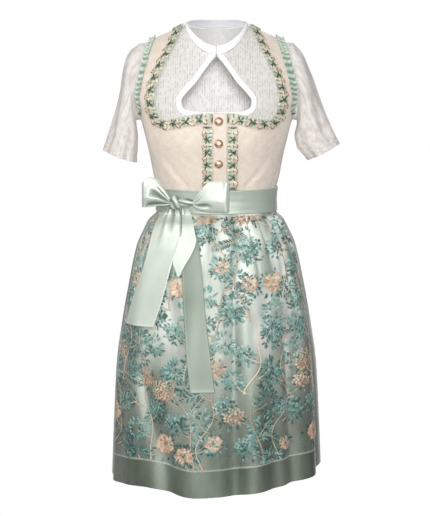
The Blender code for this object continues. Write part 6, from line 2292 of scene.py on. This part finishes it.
def add_spray(work, column, low, length, row):
    """A spray from a low point up, with motifs beside and above it; gives back the next motif's number."""
    heights = np.arange(low, low + length, VINE_STEP)
    places = vine_places(work, column * VINE_SPACING + work.random.uniform(-VINE_SWAY, VINE_SWAY), heights)
    colour = work.shaded(STEM_COLOURS)
    work.stem(np.stack([places, heights], axis=-1), work.random.uniform(*VINE_WIDTH), VINE_END_WIDTH, colour)
    z = low + work.random.uniform(*FIRST_MOTIF)
    while z < low + length + LAST_MOTIF_RISE:
        here = np.interp(z, heights, places)
        side = 1.0 if row % 2 else -1.0
        at_side = z < low + length - END_MOTIF_ZONE
        far = work.random.uniform(*MOTIF_REACH) if at_side else END_MOTIF_REACH
        s, rise = here + side * far, work.random.uniform(*MOTIF_RISE)
        twig = [(here, z - TWIG_DROP), (here + TWIG_ELBOW * side * far, z - TWIG_DROP / 2.0),
                (s, z + rise - TWIG_GAP)]
        work.stem(twig, *TWIG_WIDTHS, colour)
        add_motif(work, MOTIFS[(row + 5 * column) % len(MOTIFS)], s, z + rise, side)
        z += MOTIF_STEP * work.random.uniform(*MOTIF_STEP_RANGE)
        row += 1
    return row


def build_embroidery():
    """Columns of sprays that grow up in slow bends, one above the other."""
    work = Embroidery(SEED)
    row = 0
    for column in VINE_COLUMNS:
        low = EMBROIDERY_LOW_Z
        while low < EMBROIDERY_HIGH_Z:
            length = work.random.uniform(*SPRAY_LENGTH)
            row = add_spray(work, column, low, length, row)
            low += length + work.random.uniform(-SPRAY_GAP, SPRAY_GAP)
    add_piece("apron_embroidery", work.mesh("apron_embroidery"), THREAD)


# --- floor, light and camera ----------------------------------------------------------------------
def build_stage():
    turns = np.linspace(0.0, 2.0 * np.pi, FLOOR_SIDES + 1)[:-1]
    rim = np.stack([FLOOR_RADIUS * np.cos(turns), FLOOR_RADIUS * np.sin(turns), FLOOR_Z + 0.0 * turns], -1)
    mesh = make_mesh("floor", rim, [tuple(range(FLOOR_SIDES))])
    mesh.materials.append(Finish("floor", FLOOR_COLOUR, roughness=0.9).material)
    link(bpy.data.objects.new("floor", mesh))


def add_light(name, place, target, size, power, colour):
    light = bpy.data.lights.new(name, "AREA")
    light.size = size
    light.energy = power
    light.color = colour
    holder = link(bpy.data.objects.new(name, light))
    holder.location = place
    away = holder.location - Vector(target)
    holder.rotation_euler = away.to_track_quat("Z", "Y").to_euler()


def light_scene():
    """A white studio: what the camera sees behind is full white, what lights the dress is softer."""
    world = bpy.data.worlds.new("studio")
    bpy.context.scene.world = world
    world.use_nodes = True
    tree = world.node_tree
    background = tree.nodes["Background"]
    seen = tree.nodes.new("ShaderNodeLightPath")
    strength = tree.nodes.new("ShaderNodeMapRange")
    strength.inputs["To Min"].default_value = ROOM_LIGHT
    strength.inputs["To Max"].default_value = 1.0
    tree.links.new(seen.outputs["Is Camera Ray"], strength.inputs["Value"])
    tree.links.new(strength.outputs["Result"], background.inputs["Strength"])
    background.inputs["Color"].default_value = (1.0, 1.0, 1.0, 1.0)
    for light in LIGHTS:
        add_light(*light)


def place_camera():
    camera = bpy.data.cameras.new("camera")
    camera.sensor_fit = "HORIZONTAL"
    camera.sensor_width = CAMERA_SENSOR_MM
    camera.lens = CAMERA_LENS_MM
    holder = link(bpy.data.objects.new("camera", camera))
    holder.location = CAMERA_PLACE
    holder.rotation_euler = (math.radians(90.0 - CAMERA_TILT), 0.0, 0.0)
    bpy.context.scene.camera = holder


build_blouse()
build_sleeve("left", 1.0, SLEEVE_LEFT, SLEEVE_LEFT_PHASE)
build_sleeve("right", -1.0, SLEEVE_RIGHT, SLEEVE_RIGHT_PHASE)
build_bodice()
build_placket()
build_buttons()
build_braids()
build_ruffle("left", 1.0, RUFFLE_INNER_LEFT)
build_ruffle("right", -1.0, RUFFLE_INNER_RIGHT)
build_skirt()
build_apron()
build_embroidery()
build_sash_band()
build_bow()
build_stage()
light_scene()
place_camera()
bpy.context.scene.view_settings.view_transform = "Standard"
